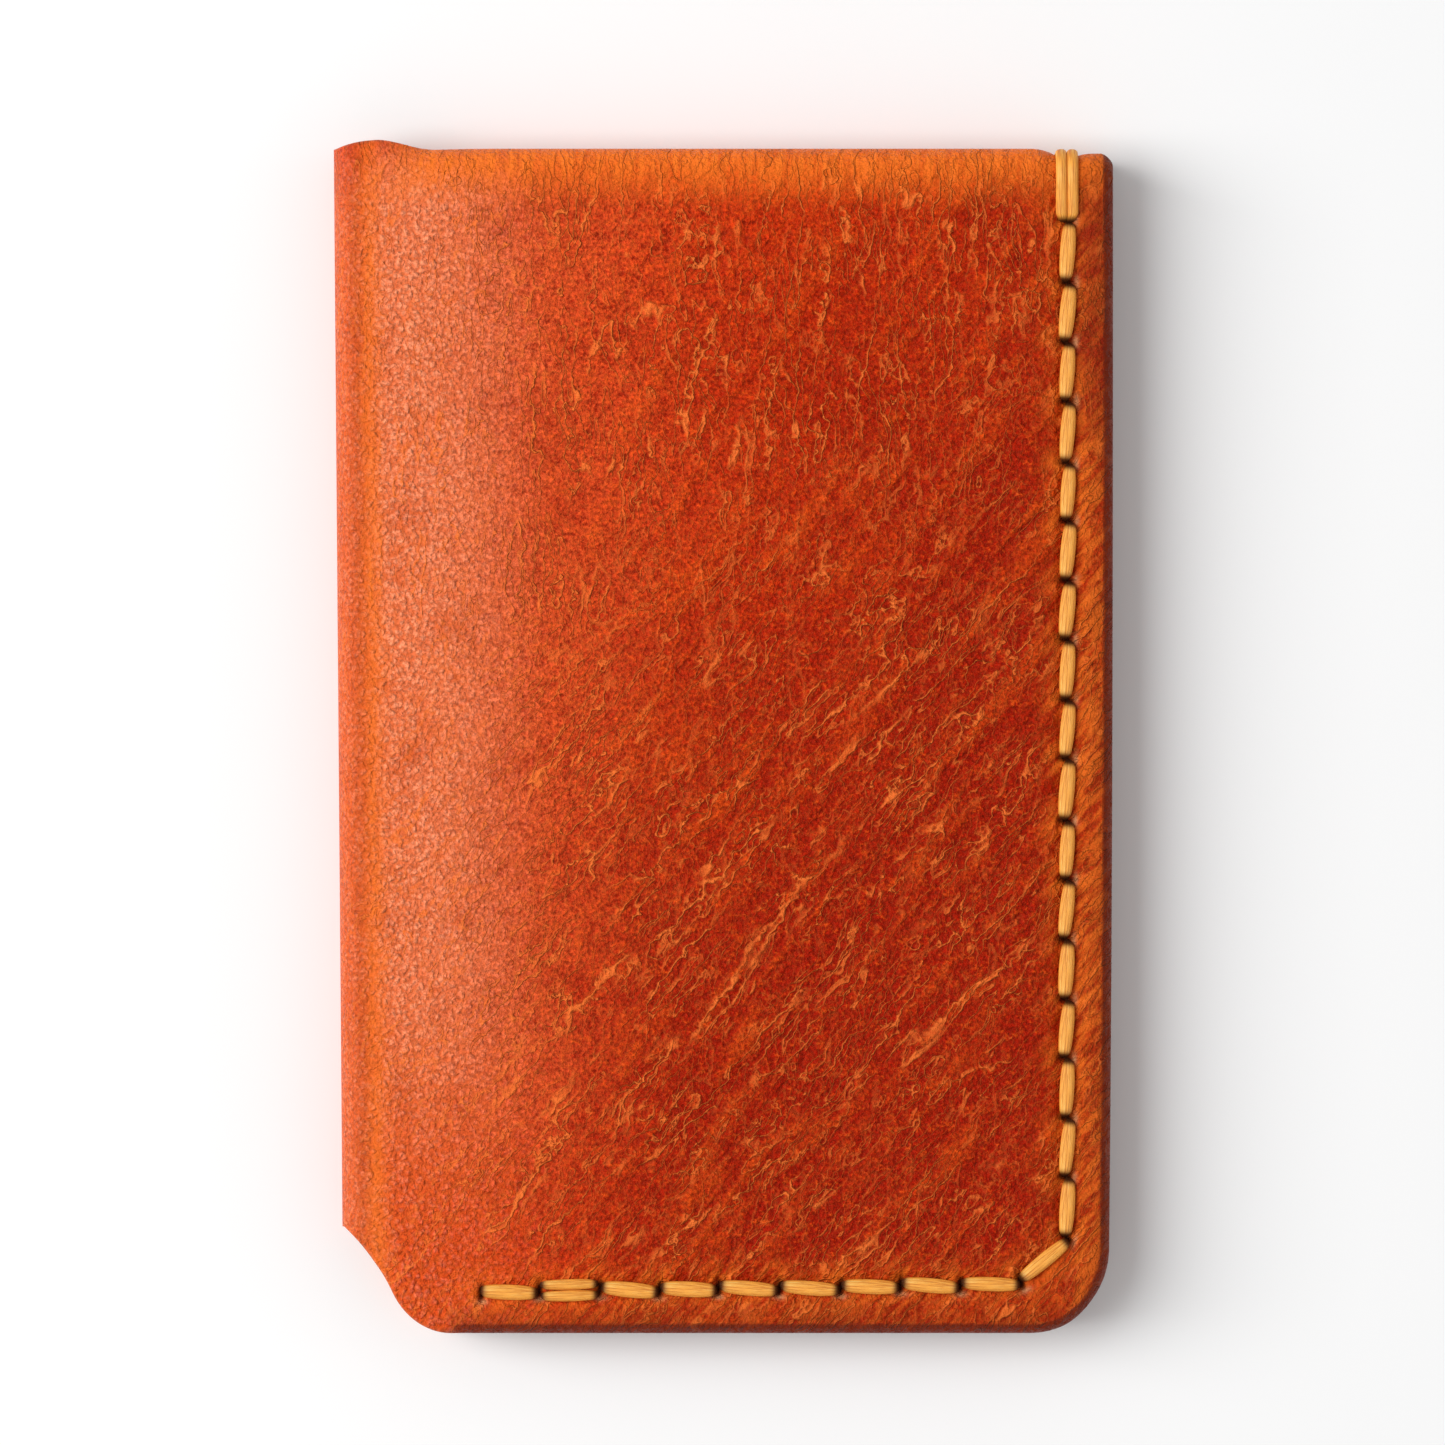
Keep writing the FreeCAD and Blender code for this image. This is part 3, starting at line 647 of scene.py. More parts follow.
def build_leaf(name, shape, seam, is_back):
    """One leaf of the leather as a closed shell, with attributes for its finish."""
    leaf = Leaf(shape, seam)
    outline, radius, kinds = blank_outline(shape, leaf.spine)
    out = outward(outline)
    count = len(outline)
    holes = stitch_holes(seam)
    base = in_mm(shape, "grain_step")

    def wanted(points):
        s, v = points[:, 0], points[:, 1]
        x, y, rolled = leaf.plane(s, v)
        step = np.where(v > ROLL_END + 1.5, base * 2, base)
        seam_away = np.minimum(np.abs(x - SIDE_SEAM), np.abs(y - FOOT_SEAM + 0.35))
        diagonal = np.abs(SIDE_SEAM - x + y - FOOT_SEAM - leaf.step) / math.sqrt(2)
        near = (seam_away < 1.7) | (diagonal < 1.7) & (x > SIDE_SEAM - 6) & (y < FOOT_SEAM + 6)
        near &= (x > THREAD_LOW[0] - 1.5) & (x < SIDE_SEAM + 2.5) & (y > FOOT_SEAM - 2.6)
        near |= (v > FLAT_HEAD - 1.5) & (v < ROLL_END + 0.5) & (x > MOUTH - 6)
        near |= s < leaf.spine.crease_end + 1.0
        step = np.where(near, np.minimum(step, base / 2), step)
        hole_away = np.full(len(points), 9.0)
        for hx, hy in holes:
            hole_away = np.minimum(hole_away, np.hypot(x - hx, y - hy))
        limit = np.where(v > ROLL_END, base / 2, base / 4)
        return np.where((hole_away < 1.15) & ~rolled, np.minimum(step, limit), step)

    inner_line = outline - out * radius[:, None]
    outer_points, outer_faces = fill(inner_line, wanted, base * 2, 4)
    gap = np.minimum(in_mm(shape, "layer_gap"), radius * 0.5)
    under_line = outline - out * gap[:, None]
    under_points, under_faces = fill(under_line, lambda p: np.full(len(p), 3.0), 3.0, 1)

    places, marks, flat = [], [], []

    def add(s, v, place, depth_share, burnish):
        press, pull, pierce, torn = leaf.pressed(s, v)
        x, y, _ = leaf.plane(s, v)
        # The margin outside the seam takes the bright pulled tone: partly the pull-up of the stretched
        # margin, partly painted sheen of the key light on its rounded face.
        margin = np.maximum(ease((x - SIDE_SEAM - 0.2) / 0.9), 0.4 * ease((FOOT_SEAM - 0.4 - y) / 0.9))
        head_margin = ease((x - SIDE_SEAM - 0.2) / 0.9) * ease((y - 22) / 8)
        pull = np.maximum(pull, 0.85 * margin * (1 - 0.6 * head_margin) * (x > MOUTH + 2))
        rise = ease((v - FLAT_HEAD + 3.6) / 5.2) * ease((ROLL_END + 3.0 - v) / 4.5)
        share = leaf.fold_share(x)
        from_crease = x - LEFT - in_mm(shape, "crease_line")
        crease = bump(from_crease, 0.8)
        # Painted shade: hollow marks the dip just before the crease, which darkened paints with the dark
        # tone.
        hollow = bump(from_crease + 1.2, 0.75)
        stretch = np.maximum(np.minimum(rise, share) * (x > LEFT + 4), 0.5 * crease)
        places.append(place)
        flat.append(np.stack([s, v], 1))
        # darkened holds painted shade in the hollow by the crease and the darker rubbed head of the right
        # margin.
        darkened = np.maximum(0.24 * hollow, 0.34 * head_margin)
        values = [burnish, stretch, pull, pierce, torn, np.full(len(s), depth_share), darkened]
        marks.append(np.stack([np.broadcast_to(m, s.shape) for m in values], 1))

    s, v = outer_points[:, 0], outer_points[:, 1]
    edge_tree = kdtree.KDTree(count)
    for index, point in enumerate(outline):
        edge_tree.insert((point[0], point[1], 0.0), index)
    edge_tree.balance()
    is_edge = kinds == "edge"
    burnish = np.zeros(len(s))
    for index, (a, b) in enumerate(outer_points):
        _, nearest, away = edge_tree.find((a, b, 0.0))
        if is_edge[nearest]:
            burnish[index] = math.exp(-((max(away - 0.95, 0) / 1.1) ** 2)) * 0.42
    add(s, v, leaf.skin(s, v), 0.0, burnish)
    faces = [outer_faces]

    edge_share = np.where(is_edge, 1.0, 0.0)
    for _ in range(EDGE_EASING):
        edge_share = neighbour_mean(edge_share)
    row_start = 0
    next_start = len(s)
    thickness = LEATHER - 0.02
    edge_shape = [(0.72, 0.12), (0.45, 0.31), (0.2, 0.6), (0.05, 0.84), (0.0, 1.0)]
    rows = [(radius * inward, radius * down, 1.0) for inward, down in edge_shape]
    rows += [(0 * radius, radius + (thickness - gap - radius) * 0.5, 1.0)]
    rows += [(0 * radius, thickness - gap, 1.0)]
    for inset, depth, tone in rows:
        so = outline[:, 0] - inset * out[:, 0]
        vo = outline[:, 1] - inset * out[:, 1]
        deep = np.clip(depth / thickness, 0, 1)
        place = leaf.skin(outline[:, 0], outline[:, 1], inset, out, depth, press_share=1 - deep)
        add(np.maximum(so, 0), vo, place, 0.0, tone * edge_share)
        marks[-1][:, 5] = (1 - edge_share) * np.clip(depth / 0.35, 0, 1) * 0.5
        marks[-1][:, 4] = 0.55 * edge_share * np.clip((deep - 0.75) / 0.15, 0, 1)
        faces.append(strips(row_start, next_start, count))
        row_start = next_start
        next_start += count
    s, v = under_points[:, 0], under_points[:, 1]
    place = leaf.skin(s, v, depth=np.full(len(s), thickness), press_share=0.0)
    add(s, v, place, 1.0, np.zeros(len(s)))
    marks[-1][:, 1:5] = 0
    faces.append(strips(row_start, next_start, count))
    faces.append(under_faces[:, ::-1] + next_start)

    places, marks, flat = np.concatenate(places), np.concatenate(marks), np.concatenate(flat)
    faces = np.concatenate(faces)
    if is_back:
        places[:, 2] = 2 * MIDDLE - places[:, 2]
        faces = faces[:, ::-1]
    piece = mesh_piece(name, places, faces)
    marks = np.column_stack([marks, np.full(len(marks), float(is_back))])
    names = ["edge_burnish", "fold_stretch", "seam_pull_and_rim_sheen", "stitch_hole", "torn_fibre", "flesh"]
    names += ["darkened", "other_leaf"]
    for column, label in enumerate(names):
        attribute = piece.data.attributes.new(label, "FLOAT", "POINT")
        attribute.data.foreach_set("value", marks[:, column].astype(np.float32))
    layer = piece.data.uv_layers.new(name="blank")
    corners_at = np.zeros(len(piece.data.loops), np.int32)
    piece.data.loops.foreach_get("vertex_index", corners_at)
    uv = flat[corners_at] / BLANK_MAP
    layer.data.foreach_set("uv", uv.astype(np.float32).ravel())
    middle_rows = np.zeros(len(piece.data.vertices), bool)
    middle_rows[:count] = kinds == "middle"
    middle_rows[next_start : next_start + count] = kinds == "middle"
    pairs = np.zeros(len(piece.data.edges) * 2, np.int32)
    piece.data.edges.foreach_get("vertices", pairs)
    pairs = pairs.reshape(-1, 2)
    sharp = middle_rows[pairs[:, 0]] & middle_rows[pairs[:, 1]]
    mark = piece.data.attributes.new("sharp_edge", "BOOLEAN", "EDGE")
    mark.data.foreach_set("value", sharp)
    return piece


def mesh_piece(name, places, faces):
    """A smooth mesh object at the origin, from places in millimetres."""
    mesh = bpy.data.meshes.new(name)
    mesh.from_pydata((places * MM).tolist(), [], faces.tolist())
    mesh.shade_smooth()
    mesh.validate()
    piece = bpy.data.objects.new(name, mesh)
    bpy.context.scene.collection.objects.link(piece)
    return piece


# ---------------------------------------------------------------- stitches


def stitch_profile(length, width, height, around=14, along=26):
    """One stitch along x: it lies flattened between two holes and dives into both."""
    t = np.linspace(-1, 1, along)
    x = t * length / 2
    end = np.clip((np.abs(t) - 0.76) / 0.24, 0, 1)
    sink = 0.1 * (1 - t**2) - 1.2 * end**2.4
    slim = 1 - 0.36 * np.abs(t) ** 2.4 - 0.3 * end**1.2
    shaded = np.clip((np.abs(t) - 0.5) / 0.5, 0, 1) ** 1.6
    rings = []
    angles = np.linspace(0, 2 * math.pi, around, endpoint=False)
    for i in range(along):
        c, n = np.cos(angles), np.sin(angles)
        flat_y = np.sign(c) * np.abs(c) ** 0.85 * width / 2 * slim[i]
        flat_z = np.sign(n) * np.abs(n) ** 0.8 * height / 2 * (0.9 + 0.1 * slim[i])
        rings.append(np.stack([np.full(around, x[i]) * (1 - 0.03 * end[i]), flat_y, flat_z + sink[i]], 1))
    return np.concatenate(rings), around, along, shaded


def tube_faces(around, along):
    """Triangles of a capped tube of rings."""
    faces = []
    for i in range(along - 1):
        faces.append(strips(i * around, (i + 1) * around, around)[:, ::-1])
    first = [(0, j, j + 1) for j in range(1, around - 1)]
    last = (along - 1) * around
    end = [(last, last + j + 1, last + j) for j in range(1, around - 1)]
    return np.concatenate(faces + [np.array(first)[:, ::-1], np.array(end)[:, ::-1]])


def thread_mesh(name, places, around, along, end_share, length):
    """A tube of thread with its own UV map and a mark for its ends, where painted shade and some staining
    darken it.
    """
    faces = tube_faces(around, along)
    piece = mesh_piece(name, places, faces)
    mark = piece.data.attributes.new("thread_end", "FLOAT", "POINT")
    mark.data.foreach_set("value", np.repeat(end_share, around).astype(np.float32))
    layer = piece.data.uv_layers.new(name="fibre_run")
    index = np.zeros(len(piece.data.loops), np.int32)
    piece.data.loops.foreach_get("vertex_index", index)
    ring, step = index // around, index % around
    turn = 2 * math.pi * step / around
    u = 0.5 - 0.5 * np.cos(turn)
    u = u + np.where(np.sin(turn) < 0, 2.0, 0.0)
    v = ring / (along - 1) * length / FIBRE_MAP
    layer.data.foreach_set("uv", np.stack([u, v], 1).astype(np.float32).ravel())
    return piece


def stitch_tree(material):
    """Node tree that sews a stitch on each point of a seam."""
    tree = bpy.data.node_groups.new("saddle_seam", "GeometryNodeTree")
    sockets = {"Geometry": "Geometry", "Stitch": "Object", "Unevenness": "Float", "Seed": "Int"}
    for label, kind in sockets.items():
        tree.interface.new_socket(name=label, in_out="INPUT", socket_type="NodeSocket" + kind)
    tree.interface.new_socket(name="Geometry", in_out="OUTPUT", socket_type="NodeSocketGeometry")
    node, link = tree.nodes.new, tree.links.new
    given = node("NodeGroupInput").outputs

    points = node("GeometryNodeMeshToPoints")
    link(given["Geometry"], points.inputs["Mesh"])
    source = node("GeometryNodeObjectInfo")
    link(given["Stitch"], source.inputs["Object"])
    place = node("GeometryNodeInstanceOnPoints")
    link(points.outputs["Points"], place.inputs["Points"])
    link(source.outputs["Geometry"], place.inputs["Instance"])

    def seam_mark(name):
        mark = node("GeometryNodeInputNamedAttribute")
        mark.data_type = "FLOAT_VECTOR"
        mark.inputs["Name"].default_value = name
        return mark.outputs["Attribute"]

    turn = node("FunctionNodeEulerToRotation")
    link(seam_mark("seam_turn"), turn.inputs["Euler"])
    link(turn.outputs["Rotation"], place.inputs["Rotation"])

    change = node("FunctionNodeRandomValue")
    change.data_type = "FLOAT_VECTOR"
    link(given["Seed"], change.inputs["Seed"])
    for limit, operation in enumerate(("SUBTRACT", "ADD")):
        share = node("ShaderNodeMath")
        share.operation = operation
        share.inputs[0].default_value = 1.0
        link(given["Unevenness"], share.inputs[1])
        scale = node("ShaderNodeCombineXYZ")
        scale.inputs["X"].default_value = 1.0
        link(share.outputs[0], scale.inputs["Y"])
        link(share.outputs[0], scale.inputs["Z"])
        link(scale.outputs[0], change.inputs[limit])
    size = node("ShaderNodeVectorMath")
    size.operation = "MULTIPLY"
    link(seam_mark("seam_size"), size.inputs[0])
    link(change.outputs["Value"], size.inputs[1])
    link(size.outputs["Vector"], place.inputs["Scale"])

    real = node("GeometryNodeRealizeInstances")
    link(place.outputs["Instances"], real.inputs["Geometry"])
    paint = node("GeometryNodeSetMaterial")
    paint.inputs["Material"].default_value = material
    link(real.outputs["Geometry"], paint.inputs["Geometry"])
    link(paint.outputs["Geometry"], node("NodeGroupOutput").inputs["Geometry"])
    return tree


def socket_name(tree, label):
    """Identifier of a named input of a node tree."""
    for item in tree.interface.items_tree:
        if item.in_out == "INPUT" and item.name == label:
            return item.identifier
    raise RuntimeError(f"the tree has no input named {label}")


def sew(name, shape, seam, material):
    """The straight stitches of one leaf, on its outer and inner face, as one plain mesh."""
    leaf = Leaf(shape, seam)
    height = in_mm(seam, "height")
    width = in_mm(seam, "width")
    places, turns, sizes = [], [], []
    for start, end, wide, shift in stitch_list(seam):
        along = end - start
        length = np.linalg.norm(along)
        unit = along / length
        across = np.array([unit[1], -unit[0]])
        middle = (start + end) / 2 + across * shift
        heading = math.atan2(unit[1], unit[0])
        walk = leaf.spine.walk_to(np.array([middle[0]]))
        for on_flap in (False, True):
            v = middle[1] if not on_flap else ROLL_END + FLAT_HEAD - middle[1]
            ground = leaf.base(walk, np.array([v]))[0]
            lift = height / 2 - in_mm(seam, "track") - 0.05
            up = -1 if on_flap else 1
            places.append((middle[0], middle[1], ground[2] + up * lift))
            slant = seam.slant if not shift else 0.0
            turns.append((math.pi if on_flap else 0.0, 0.0, heading + slant * up))
            sizes.append((length / STITCH * 1.02, wide / width, 1.0))
    points = bpy.data.meshes.new(name + "_points")
    points.from_pydata((np.array(places) * MM).tolist(), [], [])
    for label, values in (("seam_turn", turns), ("seam_size", sizes)):
        attribute = points.attributes.new(label, "FLOAT_VECTOR", "POINT")
        attribute.data.foreach_set("vector", np.array(values, np.float32).ravel())
    profile, around, rings, end_share = stitch_profile(STITCH, width, height)
    stitch = thread_mesh(name + "_stitch", profile, around, rings, end_share, STITCH)
    stitch.hide_render = True
    holder = bpy.data.objects.new(name + "_seam", points)
    bpy.context.scene.collection.objects.link(holder)
    tree = stitch_tree(material)
    modifier = holder.modifiers.new("seam", "NODES")
    modifier.node_group = tree
    modifier[socket_name(tree, "Stitch")] = stitch
    modifier[socket_name(tree, "Unevenness")] = 0.05
    modifier[socket_name(tree, "Seed")] = seam.seed
    graph = bpy.context.evaluated_depsgraph_get()
    made = bpy.data.meshes.new_from_object(holder.evaluated_get(graph), depsgraph=graph)
    holder.modifiers.remove(modifier)
    bpy.data.objects.remove(holder)
    bpy.data.objects.remove(stitch)
    bpy.data.node_groups.remove(tree)
    return made


def wrap_strand(name, shape, seam, shift):
    """A strand that wraps over the head of the fold from the first outer hole to the first inner one."""
    leaf = Leaf(shape, seam)
    first = first_hole(seam)
    along = 56
    v = np.linspace(first - 0.25, ROLL_END + FLAT_HEAD - first + 0.25, along)
    around = 14
    x = SIDE_SEAM + shift
    s = np.full(along, float(leaf.spine.walk_to(np.array([x]))[0]))
    ground, up = leaf.base(s, v), leaf.normal(s, v)
    height, width = in_mm(seam, "height") * 0.95, in_mm(seam, "strand")
    from_end = np.minimum(v - v[0], v[-1] - v)
    end = np.clip(1 - from_end / 0.75, 0, 1)
    lift = height / 2 - in_mm(seam, "track") - 0.02 - 1.2 * end**2
    pinch = shift * 0.5 * end
    angles = np.linspace(0, 2 * math.pi, around, endpoint=False)
    rings = []
    for i in range(along):
        side = np.cos(angles) * width / 2 * (1 - 0.35 * end[i]) - pinch[i]
        rise = np.sign(np.sin(angles)) * np.abs(np.sin(angles)) ** 0.85 * height / 2 + lift[i]
        ring = ground[i] + side[:, None] * np.array([1.0, 0, 0]) + rise[:, None] * up[i]
        rings.append(ring)
    places = np.concatenate(rings)
    return thread_mesh(name, places, around, along, end, 16.0)


def build_seam(name, shape, seam, material, is_back):
    """All the thread of one leaf as one piece."""
    sewn = sew(name, shape, seam, material)
    piece = bpy.data.objects.new(name, sewn)
    bpy.context.scene.collection.objects.link(piece)
    strand = in_mm(seam, "strand")
    parts = [piece]
    for index, shift in enumerate((-strand * 0.5, strand * 0.5)):
        parts.append(wrap_strand(f"{name}_wrap_{index}", shape, seam, shift))
        parts[-1].data.materials.append(material)
    bpy.ops.object.select_all(action="DESELECT")
    for part in parts:
        part.select_set(True)
    bpy.context.view_layer.objects.active = piece
    bpy.ops.object.join()
    piece.data.name = name
    if is_back:
        mesh = piece.data
        places = np.zeros(len(mesh.vertices) * 3, np.float32)
        mesh.vertices.foreach_get("co", places)
        places = places.reshape(-1, 3)
        places[:, 2] = 2 * MIDDLE * MM - places[:, 2]
        mesh.vertices.foreach_set("co", places.ravel())
        mesh.flip_normals()
    piece.data.shade_smooth()
    return piece


# ---------------------------------------------------------------- materials


class Paint:
    """Short hand for building a material's nodes."""

    def __init__(self, name):
        self.material = bpy.data.materials.new(name)
        self.material.use_nodes = True
        self.nodes = self.material.node_tree.nodes
        self.links = self.material.node_tree.links
        self.shader = self.nodes["Principled BSDF"]

    def join(self, value, socket):
        """Links a node's output, or sets a constant."""
        if isinstance(value, bpy.types.NodeSocket):
            self.links.new(value, socket)
        elif isinstance(value, tuple) and len(value) == 3 and socket.type == "RGBA":
            socket.default_value = (*value, 1.0)
        else:
            socket.default_value = value

    def sum(self, operation, a, b=0.0, clamp=False):
        """A math node."""
        node = self.nodes.new("ShaderNodeMath")
        node.operation = operation
        node.use_clamp = clamp
        self.join(a, node.inputs[0])
        self.join(b, node.inputs[1])
        return node.outputs[0]

    def ramp(self, value, low, high, to_low=0.0, to_high=1.0):
        """A value taken from one range to another, smoothly, and kept inside it."""
        node = self.nodes.new("ShaderNodeMapRange")
        node.interpolation_type = "SMOOTHSTEP"
        self.join(value, node.inputs["Value"])
        for label, number in (("From Min", low), ("From Max", high), ("To Min", to_low), ("To Max", to_high)):
            node.inputs[label].default_value = number
        return node.outputs["Result"]

    def times(self, a, b, clamp=False):
        """Two values multiplied."""
        return self.sum("MULTIPLY", a, b, clamp)

    def plus(self, a, b, clamp=False):
        """Two values added."""
        return self.sum("ADD", a, b, clamp)

    def most(self, a, b):
        """The larger of two values."""
        return self.sum("MAXIMUM", a, b)

    def blend(self, share, a, b):
        """Two colours mixed. A mix node holds its sockets for every data type, the colours' at 6, 7 and 2."""
        node = self.nodes.new("ShaderNodeMix")
        node.data_type = "RGBA"
        self.join(share, node.inputs["Factor"])
        self.join(a, node.inputs[6])
        self.join(b, node.inputs[7])
        return node.outputs[2]

    def mark(self, name):
        """One of the piece's own attributes."""
        node = self.nodes.new("ShaderNodeAttribute")
        node.attribute_name = name
        return node.outputs["Fac"]

    def map(self, name, turn, across, along, variant=None):
        """The piece's UV map, turned and then stretched. A variant mark gives another stretch of pattern."""
        source = self.nodes.new("ShaderNodeUVMap")
        source.uv_map = name
        sized = self.stretched(source.outputs["UV"], turn, across, along)
        if variant is None:
            return sized
        far_off = 37.0
        lift = self.nodes.new("ShaderNodeCombineXYZ")
        self.links.new(self.times(self.mark(variant), far_off), lift.inputs["Z"])
        return self.vector_sum("ADD", sized, lift.outputs["Vector"])

    def clouds(self, vector, scale, detail=3.0, roughness=0.55, distortion=0.0):
        """A noise pattern."""
        node = self.nodes.new("ShaderNodeTexNoise")
        node.inputs["Scale"].default_value = scale
        node.inputs["Detail"].default_value = detail
        node.inputs["Roughness"].default_value = roughness
        node.inputs["Distortion"].default_value = distortion
        self.links.new(vector, node.inputs["Vector"])
        return node.outputs["Fac"]

    def stretched(self, vector, turn, across, along):
        """A vector turned by degrees and then stretched."""
        turned = self.nodes.new("ShaderNodeMapping")
        turned.inputs["Rotation"].default_value = (0.0, 0.0, math.radians(turn))
        self.links.new(vector, turned.inputs["Vector"])
        sized = self.nodes.new("ShaderNodeMapping")
        sized.inputs["Scale"].default_value = (across, along, 1.0)
        self.links.new(turned.outputs["Vector"], sized.inputs["Vector"])
        return sized.outputs["Vector"]

    def cells(self, vector, scale, feature="F1"):
        """A cell pattern, or the distance to its cell borders."""
        node = self.nodes.new("ShaderNodeTexVoronoi")
        node.feature = feature
        node.inputs["Scale"].default_value = scale
        self.links.new(vector, node.inputs["Vector"])
        return node.outputs["Distance"]

    def bent(self, vector, scale, amount):
        """A vector pushed about by noise, so that lines wander."""
        node = self.nodes.new("ShaderNodeTexNoise")
        node.inputs["Scale"].default_value = scale
        node.inputs["Detail"].default_value = 2.0
        self.links.new(vector, node.inputs["Vector"])
        centred = self.vector_sum("SUBTRACT", node.outputs["Color"], (0.5, 0.5, 0.5))
        return self.vector_sum("ADD", vector, self.scaled(centred, amount))

    def vector_sum(self, operation, a, b):
        """A vector math node."""
        node = self.nodes.new("ShaderNodeVectorMath")
        node.operation = operation
        self.join(a, node.inputs[0])
        self.join(b, node.inputs[1])
        return node.outputs["Vector"]

    def scaled(self, vector, share):
        """A vector, or a colour, multiplied by a value."""
        node = self.nodes.new("ShaderNodeVectorMath")
        node.operation = "SCALE"
        self.join(vector, node.inputs[0])
        self.join(share, node.inputs["Scale"])
        return node.outputs["Vector"]

    def relief(self, height, depth, strength=1.0):
        """A bump of a given depth in metres."""
        node = self.nodes.new("ShaderNodeBump")
        node.inputs["Strength"].default_value = strength
        node.inputs["Distance"].default_value = depth
        self.links.new(height, node.inputs["Height"])
        return node.outputs["Normal"]


def blank_map(paint, turn=0.0, across=1.0, along=1.0):
    """The flat leather blank in millimetres, turned by degrees and then stretched."""
    return paint.map("blank", turn, BLANK_MAP * across, BLANK_MAP * along, "other_leaf")


def wrinkles(paint, wander, turn, across, along, width):
    """Long thin crease lines that mostly run one way, and meet and part."""
    drift = paint.clouds(paint.stretched(wander, turn, across, along), 1.0, 0.6)
    return paint.ramp(paint.sum("PINGPONG", drift, 0.1), 0.0, width, 1.0, 0.0)


